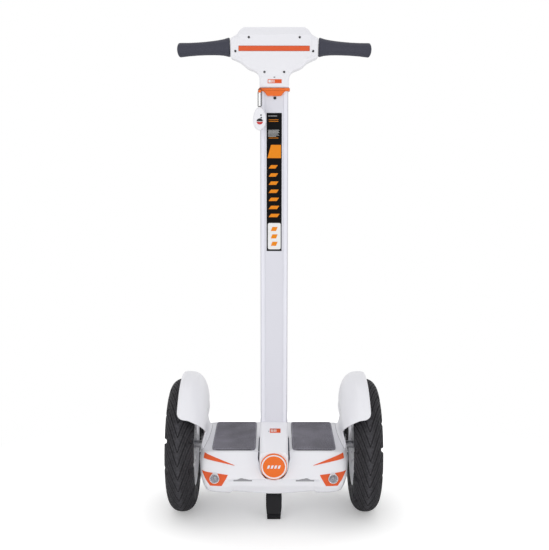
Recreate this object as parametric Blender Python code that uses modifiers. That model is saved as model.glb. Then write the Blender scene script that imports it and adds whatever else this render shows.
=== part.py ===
"""A two-wheeled self-balancing scooter, parked on its front stand.

Metres, +Z up. The rider faces -Y, so the rider's right side is at -X.
The pieces are drawn in the machine's own upright frame, whose origin is on
the ground under the middle of the wheel axle. The parked machine then leans
forward about the axle until its stand touches the ground.
"""

from math import asin, atan2, cos, hypot, pi, radians, sin, tan

import bmesh
import bpy
from mathutils import Euler, Matrix, Vector

# Clearances, and how far cutters and joined shapes reach past the surfaces they meet
SEAT_GAP = 0.0003
RUN_GAP = 0.0005
TRIM_GAP = 0.0009
SEAM_GAP = 0.0012
OVERCUT = 0.02
OVERLAP = 0.003

# Parked pose
PARK_LEAN = radians(4.0)

# Wheels and tyres
TYRE_RADIUS = 0.1775
TYRE_WIDTH = 0.079
TYRE_DEPTH = 0.066
TYRE_WALL = 0.008
BEAD_DEPTH = 0.010
TREAD_THICKNESS = 0.013
NOTCH_COUNT = 18
NOTCH_DEPTH = 0.006
NOTCH_MOUTH = 0.0127
NOTCH_FLOOR = 0.0058
NOTCH_TURNS = [radians(36), radians(50)]
SHOULDER_TURNS = [0.0, radians(20)] + NOTCH_TURNS + [radians(66)]
FIRST_NOTCH = {"right": radians(1.7), "left": radians(-4.6)}
WHEEL_CLEARANCE = 0.006
RIM_WIDTH = 0.064
RIM_THICKNESS = 0.009
RIM_EDGE_THICKNESS = 0.007
RIM_EDGE_WIDTH = 0.009
HUB_RADIUS = 0.064
HUB_WIDTH = 0.056
HUB_WALL = 0.004
HUB_EDGE = 0.003
HUB_CAP_RADIUS = 0.030
HUB_CAP_FLAT = 0.021
HUB_CAP_HEIGHT = 0.004
HUB_CAP_EDGE = 0.001
SPOKE_COUNT = 6
SPOKE_WIDTH = 0.020
SPOKE_THICKNESS = 0.016
SPOKE_OFFSET = 0.004
BAND_THICKNESS = 0.006
AXLE_RADIUS = 0.010
AXLE_CLEARANCE = 0.002
STATOR_GAP = 0.002

# Body shells: widths are half widths, rises and drops are from the axle's height
BODY_HALF_WIDTH = 0.1935
DECK_TAPER = 0.0065
LIP_TAPER = 0.0055
CHIN_TAPER = 0.0235
CHIN_EDGE_TAPER = 0.008
DECK_RISE = 0.0225
WAIST_RISE = 0.0005
LIP_DROP = 0.0365
CHIN_DROP = 0.079
CHIN_RISE = 0.018
DECK_HALF_LENGTH = 0.118
DECK_THICKNESS = 0.004
NOSE_BULGE = 0.018
LIP_REACH = 0.158
LIP_ROLL = 0.002
WAIST_BAND = 0.006
CHIN_REACH = 0.147
CORNER_POWER = 8
SEAM_LENGTH = 0.090
SHELL_WALL = 0.003
CASING_BAND_RISE = 0.012
CASING_BAND_DROP = 0.008

# Foot pads
PAD_END_MARGIN = 0.008
PAD_WIDTH = 0.113
PAD_INNER_EDGE = 0.048
PAD_THICKNESS = 0.0045
PAD_RECESS = 0.0015
PAD_CORNER = 0.012

# Lean-to-steer pivot and neck
PIVOT_DROP = 0.003
LEAN_LIMIT = radians(10.0)
NECK_HALF_WIDTH = 0.0367
NECK_FRONT = 0.1495
NECK_BACK = 0.005
NECK_RISE = 0.058
NECK_EDGE_RADIUS = 0.009
NECK_ROUND_SHARE = 0.45
NECK_SKIRT = 0.0045
NECK_SHOULDER = 0.004
NECK_WALL = 0.0025
NECK_FACE_WALL = 0.004
SLOT_CLEARANCE = 0.0013
SLOT_END_CLEARANCE = 0.009
BOSS_RADIUS = 0.0362
BOSS_PROUD = 0.0025
BOSS_THICKNESS = 0.008
BADGE_RADIUS = 0.0328
BADGE_THICKNESS = 0.008
BADGE_RIM = 0.0045
BADGE_EDGE = 0.0015
SHAFT_RADIUS = 0.010
SHAFT_END = 0.004
BEARING_RADIUS = 0.018
BEARING_WIDTH = 0.012
BEARING_HOLDER_WALL = 0.003
BEARING_HOLDER_EDGE = 0.001
FRONT_BEARING_PLACE = 0.106
REAR_BEARING_PLACE = 0.012
HUB_BLOCK_HALF_WIDTH = 0.028
HUB_BLOCK_DROP = 0.018
HUB_BLOCK_LAP = 0.004
HUB_BLOCK_BACK = 0.002
HUB_BLOCK_EDGE = 0.003
SPIGOT_HEIGHT = 0.050
SPIGOT_CLEARANCE = 0.002

# Column and its collar
COLUMN_LENGTH = 0.8815
COLUMN_WIDTH = 0.068
COLUMN_DEPTH = 0.040
COLUMN_FRONT = 0.052
COLUMN_WALL = 0.003
COLUMN_CORNER = 0.005
COLUMN_PANEL_HALF_WIDTH = 0.025
COLUMN_PANEL_DEPTH = 0.0008
COLUMN_TUCK = 0.006
SCREW_RADIUS = 0.0035
SCREW_HEIGHT = 0.0014
SCREW_DROP = 0.0335
LABEL_WIDTH = 0.038
LABEL_LENGTH = 0.348
LABEL_DROP = 0.070
LABEL_THICKNESS = 0.0006
LABEL_CORNER = 0.0015
COLLAR_DROP = 0.020
COLLAR_HEIGHT = 0.011
COLLAR_WALL = 0.005
COLLAR_FLAP_DROP = 0.009
COLLAR_FLAP_HALF_WIDTH = 0.017
COLLAR_FLAP_SPREAD = 0.010
COLLAR_FLAP_LAP = 0.004

# Handlebar head: drops are from its top
HEAD_GAP = 0.001
HEAD_HEIGHT = 0.1465
HEAD_HALF_WIDTH = 0.1085
HEAD_FRONT = 0.062
HEAD_BACK = 0.002
HEAD_COLUMN_WALL = 0.0025
HEAD_NECK_RISE = 0.024
HEAD_GUSSET = ((0.0440, 0.1122), (0.0667, 0.1034), (0.0815, 0.0835))
HEAD_SHOULDER = ((0.0232, 0.0095), (0.0371, 0.0))
HEAD_CHEEK_LOW_DROP = 0.0745
HEAD_CHEEK_HIGH_DROP = 0.0275
HEAD_EDGE = 0.006
HEAD_WALL = 0.003
STRIPE_HALF_LENGTH = 0.0885
STRIPE_DROP = 0.0533
STRIPE_HEIGHT = 0.0122
STRIPE_THICKNESS = 0.0010
STRIPE_CORNER = 0.001
DISPLAY_HALF_WIDTH = 0.034
DISPLAY_DROP = 0.0245
DISPLAY_HEIGHT = 0.040
DISPLAY_PROUD = 0.0006
DISPLAY_RECESS = 0.002
BAR_DROP = 0.046
BAR_RADIUS = 0.0110
BAR_SWEEP = radians(16.0)
BAR_DROOP = radians(1.2)
BAR_BEND = 0.130
BAR_STRAIGHT = 0.1100
BAR_SIDES = 16
GRIP_GAP = 0.002
GRIP_LENGTH = 0.133
GRIP_RADIUS = 0.0168
GRIP_SWELL = 0.0006
GRIP_FLARE = 0.0230
GRIP_FLARE_LENGTH = 0.016
GRIP_EDGE = 0.003
GRIP_END_WALL = 0.004

# Fenders
FENDER_GAP = 0.022
FENDER_OUTER_OFFSET = 0.004
FENDER_CROWN_OFFSET = 0.017
FENDER_SHOULDER_DROP = 0.075
FENDER_LIP_DROP = 0.012
FENDER_LIP_ROUND = 0.004
FENDER_INSET = 0.020
FENDER_ARC = radians(58.0)
FENDER_WALL = 0.003
FENDER_FOOT_HALF_LENGTH = 0.092

# Lamps and trim: corners are (distance in from the body's side, rise from the axle's height)
LAMP_INSET = 0.0427
LAMP_DROP = 0.0337
LAMP_RADIUS = 0.0137
LAMP_DEPTH = 0.020
LAMP_PROUD = 0.004
LAMP_RIM = 0.001
LAMP_SIDES = 24
TRIM_THICKNESS = 0.0012
STRIPE_CORNERS = ((0.0210, 0.0210), (0.0905, -0.0062), (0.0920, -0.0078), (0.0160, 0.0093))
BEZEL_CORNERS = ((0.0120, -0.0150), (0.0765, -0.0275), (0.0595, -0.0535), (0.0295, -0.0525))
TAIL_LAMP_CORNERS = ((0.0275, -0.0135), (0.0975, -0.0175), (0.0895, -0.0295), (0.0335, -0.0275))

# Frame, battery and electronics
FRAME_DROP = 0.0505
FRAME_THICKNESS = 0.016
FRAME_INSET = 0.0435
FRAME_CORNER = 0.004
FRAME_END_MARGIN = 0.006
BLOCK_HALF_LENGTH = 0.028
BLOCK_LAP = 0.014
BATTERY_HALF_WIDTH = 0.125
BATTERY_LENGTH = 0.078
BATTERY_HEIGHT = 0.046
BATTERY_EDGE = 0.004
BATTERY_END_MARGIN = 0.008
BOARD_WIDTH = 0.080
BOARD_LENGTH = 0.050
BOARD_THICKNESS = 0.012
BOARD_FRONT = 0.092
BOARD_MARGIN = 0.006
BOARD_EDGE = 0.001

# Parking stand
STAND_HINGE_REACH = 0.068
STAND_HINGE_DROP = 0.038
STAND_PIN_RADIUS = 0.004
STAND_PIN_END = 0.002
STAND_HALF_WIDTH = 0.0192
STAND_HEEL = 0.008
STAND_SHANK = 0.010
STAND_KNEE_DROP = 0.030
STAND_KNEE_REACH = 0.007
STAND_KNEE_SPREAD = 0.0012
STAND_THICKNESS = 0.015
STAND_EDGE = 0.0015
STAND_FOOT_HALF_WIDTH = 0.0168
STAND_FOOT_LENGTH = 0.026
STAND_FOOT_REACH = 0.088
STAND_FOOT_HEIGHT = 0.012
STAND_TONGUE = 0.006
STAND_TONGUE_INSET = 0.004
STAND_EAR = 0.005
BRACKET_HALF_LENGTH = 0.013
BRACKET_DROP = 0.009
BRACKET_ROOM = 0.014
STAND_HOLE_HALF_LENGTH = 0.020

# Charge socket
SOCKET_DROP = 0.0375
SOCKET_HALF_WIDTH = 0.024
SOCKET_HALF_HEIGHT = 0.015
SOCKET_PROUD = 0.006
SOCKET_RIM = 0.006
SOCKET_RECESS = 0.003
SOCKET_DEPTH = 0.027
SOCKET_EDGE = 0.0015
INLET_RADIUS = 0.008
INLET_DEPTH = 0.012
CAP_LAP = 0.004
CAP_THICKNESS = 0.0025
CAP_CORNER = 0.003
CAP_HINGE_RADIUS = 0.0016
CAP_HINGE_HALF_LENGTH = 0.019

# Key fob
PEG_OFFSET = 0.0342
PEG_RISE = 0.0025
PEG_RADIUS = 0.0018
PEG_HEAD_RADIUS = 0.0040
PEG_HEAD_THICKNESS = 0.0015
PEG_LENGTH = 0.014
LOOP_HALF_WIDTH = 0.0048
LOOP_LENGTH = 0.047
LOOP_WIRE = 0.0011
FOB_WIDTH = 0.031
FOB_LENGTH = 0.060
FOB_THICKNESS = 0.012
FOB_EDGE = 0.003
FOB_TAPER = 0.10
FOB_SLOT_DEPTH = 0.009
FOB_SLOT_SPARE = 0.0038
FOB_SLOT_CLEARANCE = 0.0007
FOB_SLOT_SIDE_CLEARANCE = 0.002
FOB_PIN_RADIUS = 0.0012
FOB_BUTTON_HALF_WIDTH = 0.0078
FOB_BUTTON_HEIGHT = 0.0068
FOB_BUTTON_SPACE = 0.0014
FOB_BUTTON_PLACE = 0.0372
FOB_BUTTON_DEPTH = 0.003
FOB_BUTTON_TRAVEL = 0.0008

# Places worked out from the sizes
AXLE_HEIGHT = TYRE_RADIUS
HALF_TRACK = BODY_HALF_WIDTH + WHEEL_CLEARANCE + TYRE_WIDTH / 2
RIM_RADIUS = TYRE_RADIUS - TYRE_DEPTH
DECK_HEIGHT = AXLE_HEIGHT + DECK_RISE
WAIST_HEIGHT = AXLE_HEIGHT + WAIST_RISE
LIP_HEIGHT = AXLE_HEIGHT - LIP_DROP
CHIN_HEIGHT = AXLE_HEIGHT - CHIN_DROP
DECK_HALF_WIDTH = BODY_HALF_WIDTH - DECK_TAPER
LIP_HALF_WIDTH = BODY_HALF_WIDTH - LIP_TAPER
CHIN_HALF_WIDTH = BODY_HALF_WIDTH - CHIN_TAPER
DECK_UNDERSIDE = DECK_HEIGHT - DECK_THICKNESS
PIVOT_HEIGHT = AXLE_HEIGHT - PIVOT_DROP
NECK_HEIGHT = DECK_HEIGHT + NECK_RISE
NECK_NOSE_HEIGHT = PIVOT_HEIGHT + NECK_HALF_WIDTH
BOSS_FACE = NECK_FRONT + BOSS_PROUD
COLUMN_BACK = COLUMN_FRONT - COLUMN_DEPTH
COLUMN_LOW = NECK_HEIGHT - NECK_WALL - COLUMN_TUCK
COLUMN_TOP = COLUMN_LOW + COLUMN_LENGTH
COLLAR_LOW = COLUMN_TOP - COLLAR_DROP
COLLAR_HIGH = COLLAR_LOW + COLLAR_HEIGHT
HEAD_LOW = COLLAR_HIGH + HEAD_GAP
HEAD_TOP = HEAD_LOW + HEAD_HEIGHT
BAR_HEIGHT = HEAD_TOP - BAR_DROP
BAR_REACH = (HEAD_FRONT + HEAD_BACK) / 2
GRIP_INNER = HEAD_HALF_WIDTH + GRIP_GAP
GRIP_OUTER = GRIP_INNER + GRIP_LENGTH
FENDER_RADIUS = TYRE_RADIUS + FENDER_GAP
FENDER_OUTER = HALF_TRACK + FENDER_OUTER_OFFSET
FENDER_CROWN = HALF_TRACK - FENDER_CROWN_OFFSET
FENDER_INNER = BODY_HALF_WIDTH - FENDER_INSET
FENDER_FOOT_HEIGHT = AXLE_HEIGHT + AXLE_RADIUS + RUN_GAP
LAMP_PLACE = BODY_HALF_WIDTH - LAMP_INSET
LAMP_HEIGHT = AXLE_HEIGHT - LAMP_DROP
FRAME_LOW = AXLE_HEIGHT - FRAME_DROP
FRAME_HIGH = FRAME_LOW + FRAME_THICKNESS
FRAME_HALF_WIDTH = BODY_HALF_WIDTH - FRAME_INSET
STAND_HINGE_HEIGHT = FRAME_LOW - STAND_HINGE_DROP
STAND_EAR_INNER = STAND_HALF_WIDTH + RUN_GAP
STAND_EAR_OUTER = STAND_EAR_INNER + STAND_EAR
SOCKET_HEIGHT = AXLE_HEIGHT - SOCKET_DROP
SOCKET_FACE = LIP_REACH + SOCKET_PROUD
CAP_HINGE_HEIGHT = SOCKET_HEIGHT + SOCKET_HALF_HEIGHT + CAP_LAP
PEG_HEIGHT = COLLAR_LOW + PEG_RISE
LOOP_LOW = PEG_HEIGHT + PEG_RADIUS + RUN_GAP + 2 * LOOP_WIRE - LOOP_LENGTH
FOB_TOP = LOOP_LOW + FOB_SLOT_DEPTH - FOB_SLOT_SPARE
FOB_MIDDLE = COLUMN_FRONT + SEAT_GAP + COLLAR_WALL + (PEG_LENGTH - 2 * OVERLAP) / 2 + LOOP_WIRE
FOB_FRONT = FOB_MIDDLE + FOB_THICKNESS / 2
SLOT_RADIUS = NECK_HALF_WIDTH + SLOT_CLEARANCE
SLOT_TOP_HALF_WIDTH = (
    NECK_HALF_WIDTH * cos(LEAN_LIMIT) + (DECK_HEIGHT - PIVOT_HEIGHT) * sin(LEAN_LIMIT) + SLOT_CLEARANCE
)

SIDES = (("right", -1), ("left", 1))

WHITE = (0.81, 0.80, 0.84)
SILVER = (0.70, 0.70, 0.74)
ORANGE = (0.74, 0.11, 0.03)
DARK = (0.03, 0.03, 0.035)


def clear_scene():
    """Remove whatever the scene holds."""
    for old in list(bpy.data.objects):
        bpy.data.objects.remove(old, do_unlink=True)


def collection(name):
    """The named collection, made and linked when it isn't there yet."""
    found = bpy.data.collections.get(name)
    if found is None:
        found = bpy.data.collections.new(name)
        bpy.context.scene.collection.children.link(found)
    return found


def material(name, color, roughness, metallic=0.0):
    """A plain Principled material."""
    made = bpy.data.materials.get(name)
    if made is None:
        made = bpy.data.materials.new(name)
        made.use_nodes = True
        shader = made.node_tree.nodes["Principled BSDF"]
        shader.inputs["Base Color"].default_value = (*color, 1.0)
        shader.inputs["Roughness"].default_value = roughness
        shader.inputs["Metallic"].default_value = metallic
        made.diffuse_color = (*color, 1.0)
    return made


FINISHES = {
    "white plastic": (WHITE, 0.3, 0.0),
    "silver alloy": (SILVER, 0.4, 0.9),
    "orange plastic": (ORANGE, 0.35, 0.0),
    "pad rubber": ((0.155, 0.15, 0.175), 0.8, 0.0),
    "grip rubber": ((0.075, 0.08, 0.105), 0.75, 0.0),
    "tyre rubber": ((0.04, 0.04, 0.045), 0.85, 0.0),
    "black plastic": (DARK, 0.5, 0.0),
    "steel": ((0.45, 0.45, 0.47), 0.35, 1.0),
    "clear lens": ((0.8, 0.82, 0.85), 0.05, 0.0),
    "red plastic": ((0.5, 0.01, 0.02), 0.4, 0.0),
    "circuit board": ((0.02, 0.12, 0.06), 0.6, 0.0),
    "battery wrap": ((0.05, 0.07, 0.2), 0.5, 0.0),
}


class Pivot:
    """An empty that carries pieces, and its place in the upright machine frame.

    Pieces are drawn in the machine frame, or about the pivot itself where own_frame is set.
    """

    def __init__(self, name, place, parent=None, turn=0.0, own_frame=False):
        self.place = Vector(place)
        self.zero = Vector() if own_frame else self.place
        self.empty = bpy.data.objects.new(name, None)
        self.empty.empty_display_size = 0.02
        collection("joint_axes").objects.link(self.empty)
        self.empty.parent = parent.empty if parent else None
        self.empty.location = self.place - parent.place if parent else self.place
        self.empty.rotation_euler = Euler((turn, 0, 0))

    def carry(self, obj):
        """Parent a piece that stands at its place."""
        obj.parent = self.empty
        obj.location = obj.location - self.zero


def build_object(name, mesh, pivot, finish=None, smooth=True):
    """An object for a mesh, in the parts' collection, or in the cutters' when it has no finish."""
    obj = bpy.data.objects.new(name, mesh)
    if finish:
        collection("balancing_scooter").objects.link(obj)
        mesh.materials.append(material(finish, *FINISHES[finish]))
        if smooth:
            mesh.shade_smooth()
            mesh.set_sharp_from_angle(angle=radians(35))
    else:
        collection("cutters").objects.link(obj)
        obj.hide_render = True
        obj.display_type = "WIRE"
    pivot.carry(obj)
    return obj


def mesh_from(name, points, edges=(), faces=()):
    """A mesh from points, edges and faces, its normals made to agree."""
    mesh = bpy.data.meshes.new(name)
    mesh.from_pydata([tuple(p) for p in points], list(edges), list(faces))
    if faces:
        shape = bmesh.new()
        shape.from_mesh(mesh)
        bmesh.ops.remove_doubles(shape, verts=shape.verts, dist=0.00001)
        bmesh.ops.recalc_face_normals(shape, faces=shape.faces)
        shape.to_mesh(mesh)
        shape.free()
    mesh.update()
    return mesh


def turned(name, profile, place, turn, pivot, finish=None, steps=32, ring=False):
    """A turned piece: (radius, height) points, top to bottom down the outer side."""
    points = [(radius, 0.0, height) for radius, height in profile]
    edges = [(i, i + 1) for i in range(len(points) - 1)]
    if ring:
        edges.append((len(points) - 1, 0))
    obj = build_object(name, mesh_from(name, points, edges), pivot, finish)
    obj.location += Vector(place)
    obj.rotation_euler = Euler(turn)
    screw = obj.modifiers.new("Screw", "SCREW")
    screw.steps = steps
    screw.render_steps = steps
    screw.use_merge_vertices = True
    screw.merge_threshold = 0.00001
    return obj


def along_x(side):
    """Turns a local +Z axis outwards along X on one side."""
    return (0, side * pi / 2, 0)


TO_FRONT = (pi / 2, 0, 0)
TO_REAR = (-pi / 2, 0, 0)


def rod(name, radius, low, high, place, turn, pivot, finish=None, steps=24):
    """A plain round bar from low to high along its own axis."""
    profile = [(0, high), (radius, high), (radius, low), (0, low)]
    return turned(name, profile, place, turn, pivot, finish, steps)


def sleeve(name, inner, outer, low, high, place, turn, pivot, finish=None, steps=32):
    """A round ring with a bore."""
    profile = [(inner, high), (outer, high), (outer, low), (inner, low)]
    return turned(name, profile, place, turn, pivot, finish, steps, ring=True)


def block(name, low, high, pivot, finish=None, rounding=0.0, axis=None, segments=2):
    """A box between two corners, its edges (or those along one axis) rounded."""
    low, high = Vector(low), Vector(high)
    shape = bmesh.new()
    bmesh.ops.create_cube(shape, size=1.0)
    bmesh.ops.scale(shape, vec=high - low, verts=shape.verts)
    if rounding:
        edges = shape.edges[:]
        if axis is not None:
            edges = [e for e in edges if abs((e.verts[0].co - e.verts[1].co)[axis]) > 1e-6]
        bmesh.ops.bevel(shape, geom=edges, offset=rounding, segments=segments, profile=0.5, affect="EDGES")
    bmesh.ops.translate(shape, vec=(low + high) / 2, verts=shape.verts)
    mesh = bpy.data.meshes.new(name)
    shape.to_mesh(mesh)
    shape.free()
    return build_object(name, mesh, pivot, finish)


def mesh_of_curve(name, curve):
    """The closed mesh that a curve's bevel and caps make, with its caps welded on."""
    maker = bpy.data.objects.new(name + "_line", curve)
    bpy.context.scene.collection.objects.link(maker)
    bpy.context.view_layer.update()
    mesh = bpy.data.meshes.new_from_object(maker.evaluated_get(bpy.context.evaluated_depsgraph_get()))
    bpy.data.objects.remove(maker, do_unlink=True)
    shape = bmesh.new()
    shape.from_mesh(mesh)
    bmesh.ops.remove_doubles(shape, verts=shape.verts, dist=0.00001)
    bmesh.ops.recalc_face_normals(shape, faces=shape.faces)
    shape.to_mesh(mesh)
    shape.free()
    mesh.name = name
    mesh.materials.clear()
    return mesh


def plate(name, outlines, low, high, facing, pivot, finish=None):
    """A flat outline given a thickness from low to high along the facing axis.

    facing Z: outline in (x, y). facing Y: outline in (x, z).
    """
    curve = bpy.data.curves.new(name, "CURVE")
    curve.dimensions = "2D"
    curve.fill_mode = "BOTH"
    curve.extrude = (high - low) / 2
    for outline in outlines:
        spline = curve.splines.new("POLY")
        spline.points.add(len(outline) - 1)
        for point, (u, v) in zip(spline.points, outline):
            point.co = (u, v, 0, 1)
        spline.use_cyclic_u = True
    mesh = mesh_of_curve(name, curve)
    middle = (low + high) / 2
    placing = {
        "Z": Matrix.Translation((0, 0, middle)),
        "Y": Matrix.Translation((0, middle, 0)) @ Matrix.Rotation(pi / 2, 4, "X"),
    }[facing]
    mesh.transform(placing)
    return build_object(name, mesh, pivot, finish)


def loft(name, rings, pivot, finish=None):
    """A closed solid through rings of equally many points, with flat ends."""
    count = len(rings[0])
    points = [p for ring in rings for p in ring]
    faces = []
    for r in range(len(rings) - 1):
        for i in range(count):
            j = (i + 1) % count
            faces.append((r * count + i, r * count + j, (r + 1) * count + j, (r + 1) * count + i))
    faces.append(tuple(range(count)))
    faces.append(tuple(range((len(rings) - 1) * count, len(rings) * count)))
    return build_object(name, mesh_from(name, points, faces=faces), pivot, finish)


def sheet(name, rows, thickness, pivot, finish, outwards):
    """An open grid of points given a wall. outwards is a point that the shell's outer side faces."""
    width = len(rows[0])
    points = [p for row in rows for p in row]
    faces = [
        (r * width + i, r * width + i + 1, (r + 1) * width + i + 1, (r + 1) * width + i)
        for r in range(len(rows) - 1)
        for i in range(width - 1)
    ]
    mesh = mesh_from(name, points, faces=faces)
    middle = min(mesh.polygons, key=lambda face: (face.center - Vector(outwards)).length)
    if middle.normal.dot(Vector(outwards) - middle.center) < 0:
        mesh.flip_normals()
    obj = build_object(name, mesh, pivot, finish)
    solidify = obj.modifiers.new("Wall", "SOLIDIFY")
    solidify.thickness = abs(thickness)
    solidify.offset = -1 if thickness > 0 else 1
    solidify.use_even_offset = True
    return obj


def combine(obj, operand, operation="DIFFERENCE"):
    """Cut an operand out of a piece, or join it on."""
    boolean = obj.modifiers.new(operation.title(), "BOOLEAN")
    boolean.operation = operation
    boolean.object = operand
    return obj


def arc(center, radius, start, end, count):
    """Points on an arc from one angle to another."""
    return [
        (center[0] + radius * cos(start + (end - start) * i / count),
         center[1] + radius * sin(start + (end - start) * i / count))
        for i in range(count + 1)
    ]


def rounded_outline(low, high, corner, count=3):
    """A rectangle's outline with round corners."""
    (x0, y0), (x1, y1) = low, high
    return (
        arc((x1 - corner, y0 + corner), corner, -pi / 2, 0, count)
        + arc((x1 - corner, y1 - corner), corner, 0, pi / 2, count)
        + arc((x0 + corner, y1 - corner), corner, pi / 2, pi, count)
        + arc((x0 + corner, y0 + corner), corner, pi, 3 * pi / 2, count)
    )


def between(value, table):
    """Straight-line reading of a table of (input, output) pairs in rising order."""
    for (a, fa), (b, fb) in zip(table, table[1:]):
        if value <= b:
            return fa + (fb - fa) * max(0.0, value - a) / (b - a)
    return table[-1][1]


# Body form


def body_reach(height):
    """How far the nose and tail stand from the axle plane at a height."""
    return between(height, (
        (CHIN_HEIGHT, CHIN_REACH),
        ((CHIN_HEIGHT + LIP_HEIGHT) / 2, LIP_REACH - LIP_ROLL),
        (LIP_HEIGHT, LIP_REACH),
        (WAIST_HEIGHT - WAIST_BAND, DECK_HALF_LENGTH + NOSE_BULGE),
        (DECK_HEIGHT, DECK_HALF_LENGTH),
    ))


def body_half_width(height):
    """Half the body's width at a height."""
    return between(height, (
        (CHIN_HEIGHT, CHIN_HALF_WIDTH - CHIN_EDGE_TAPER),
        (CHIN_HEIGHT + CHIN_RISE, CHIN_HALF_WIDTH),
        (LIP_HEIGHT, LIP_HALF_WIDTH),
        (WAIST_HEIGHT, BODY_HALF_WIDTH),
        (DECK_HEIGHT, DECK_HALF_WIDTH),
    ))


def corner_curve(share):
    """What is left of one side of the body's plan at a share of the other: a power curve."""
    return (1 - min(abs(share), 0.9999) ** CORNER_POWER) ** (1 / CORNER_POWER)


def body_point(angle, height, inset=0.0):
    """The body's outer surface at a plan angle from +X: a rectangle with power-curve corners."""
    wide = body_half_width(height) - inset
    reach = body_reach(height) - inset
    power = CORNER_POWER
    radius = (abs(cos(angle) / wide) ** power + abs(sin(angle) / reach) ** power) ** (-1 / power)
    return Vector((radius * cos(angle), radius * sin(angle), height))


def body_depth(x, height):
    """Distance of the nose's surface from the axle plane at a width and a height."""
    return body_reach(height) * corner_curve(x / body_half_width(height))


def seam_angle(height):
    """The plan angle of the point where an end shell meets the side wall."""
    return atan2(SEAM_LENGTH, body_half_width(height) * corner_curve(SEAM_LENGTH / body_reach(height)))


def chin_height(angle):
    """The lower edge of an end shell rises towards the corners."""
    return CHIN_HEIGHT + CHIN_RISE * abs(cos(angle) / cos(seam_angle(LIP_HEIGHT))) ** 2


def shell_heights(low):
    """Heights of an end shell's rows: the body form's own levels, down to the lower edge."""
    return (DECK_HEIGHT, WAIST_HEIGHT, WAIST_HEIGHT - WAIST_BAND, LIP_HEIGHT, (LIP_HEIGHT + low) / 2, low)


def end_shell(name, side, pivot):
    """Nose or tail shell. side is -1 at the front and 1 at the rear."""
    columns, rows = 20, 6
    grid = []
    for r in range(rows):
        line = []
        for c in range(columns + 1):
            share = c / columns
            first = seam_angle(DECK_HEIGHT)
            height = shell_heights(chin_height(first + (pi - 2 * first) * share))[r]
            first = seam_angle(height)
            point = body_point(first + (pi - 2 * first) * share, height)
            line.append(Vector((point.x, side * point.y, point.z)))
        grid.append(line)
    return sheet(name, grid, SHELL_WALL, pivot, "white plastic", (0, side, LIP_HEIGHT))


def row_share(share, top, low, crease):
    """How far down a patch a row lies: the middle row follows the crease where there is one."""
    middle = 0.5 if crease is None else min(max((top - crease) / (top - low), 0.2), 0.8)
    return between(share, ((0, 0), (0.5, middle), (1, 1)))


def surface_patch(name, corners, columns, rows, place, pivot, finish, crease=None):
    """A thin piece that lies on the nose or tail.

    corners are its outer top, inner top, inner bottom and outer bottom. place holds the
    X side and the Y end that it lies on, and crease is the height of a fold that it crosses.
    """
    side, end = place
    outer_top, inner_top, inner_low, outer_low = (
        Vector((side * (BODY_HALF_WIDTH - inset), AXLE_HEIGHT + rise)) for inset, rise in corners)
    grid = []
    for r in range(rows + 1):
        line = []
        for c in range(columns + 1):
            top = outer_top.lerp(inner_top, c / columns)
            low = outer_low.lerp(inner_low, c / columns)
            x, z = top.lerp(low, row_share(r / rows, top.y, low.y, crease))
            line.append(Vector((x, end * (body_depth(x, z) + TRIM_GAP), z)))
        grid.append(line)
    return sheet(name, grid, -TRIM_THICKNESS, pivot, finish, (outer_top.x, end, outer_top.y))


def neck_slot(pivot):
    """Cutter for the nose: a round bore about the pivot that opens upwards in a V."""
    top = DECK_HEIGHT + OVERCUT
    spread = (SLOT_TOP_HALF_WIDTH - SLOT_RADIUS) / (DECK_HEIGHT - PIVOT_HEIGHT)
    edge = SLOT_RADIUS + spread * (top - PIVOT_HEIGHT)
    outline = [(edge, top), (-edge, top)] + arc((0, PIVOT_HEIGHT), SLOT_RADIUS, pi, 2 * pi, 12)
    low, high = -LIP_REACH - OVERCUT, -DECK_HALF_LENGTH + OVERCUT
    return plate("neck_slot_cutter", [outline], low, high, "Y", pivot)


def lamp_bore(label, side, pivot):
    """Cutter for a headlamp's seat, shared by the nose and the lamp's bezel."""
    name = label + "_lamp_bore"
    made = bpy.data.objects.get(name)
    place = (side * LAMP_PLACE, -body_reach(LAMP_HEIGHT), LAMP_HEIGHT)
    reach = LAMP_DEPTH + OVERCUT
    return made or rod(name, LAMP_RADIUS + SEAT_GAP, -reach, reach, place, TO_FRONT, pivot, steps=LAMP_SIDES)


def body_shells(pivot):
    """Nose, tail, deck and lower casing."""
    nose = end_shell("front_fascia", -1, pivot)
    combine(nose, neck_slot(pivot))
    for label, side in SIDES:
        combine(nose, lamp_bore(label, side, pivot))
    tail = end_shell("rear_fascia", 1, pivot)
    wide, high = SOCKET_HALF_WIDTH, SOCKET_HALF_HEIGHT
    boss = block(
        "socket_boss",
        (-wide - SOCKET_RIM, LIP_REACH - 2 * SHELL_WALL, SOCKET_HEIGHT - high - SOCKET_RIM),
        (wide + SOCKET_RIM, SOCKET_FACE, SOCKET_HEIGHT + high + SOCKET_RIM), pivot)
    combine(tail, boss, "UNION")
    hole = block("socket_hole", (-wide, SOCKET_FACE - SOCKET_DEPTH - OVERCUT, SOCKET_HEIGHT - high),
                 (wide, SOCKET_FACE + OVERCUT, SOCKET_HEIGHT + high), pivot)
    combine(tail, hole)
    deck_cover(pivot)
    lower_casing(pivot)


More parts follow.
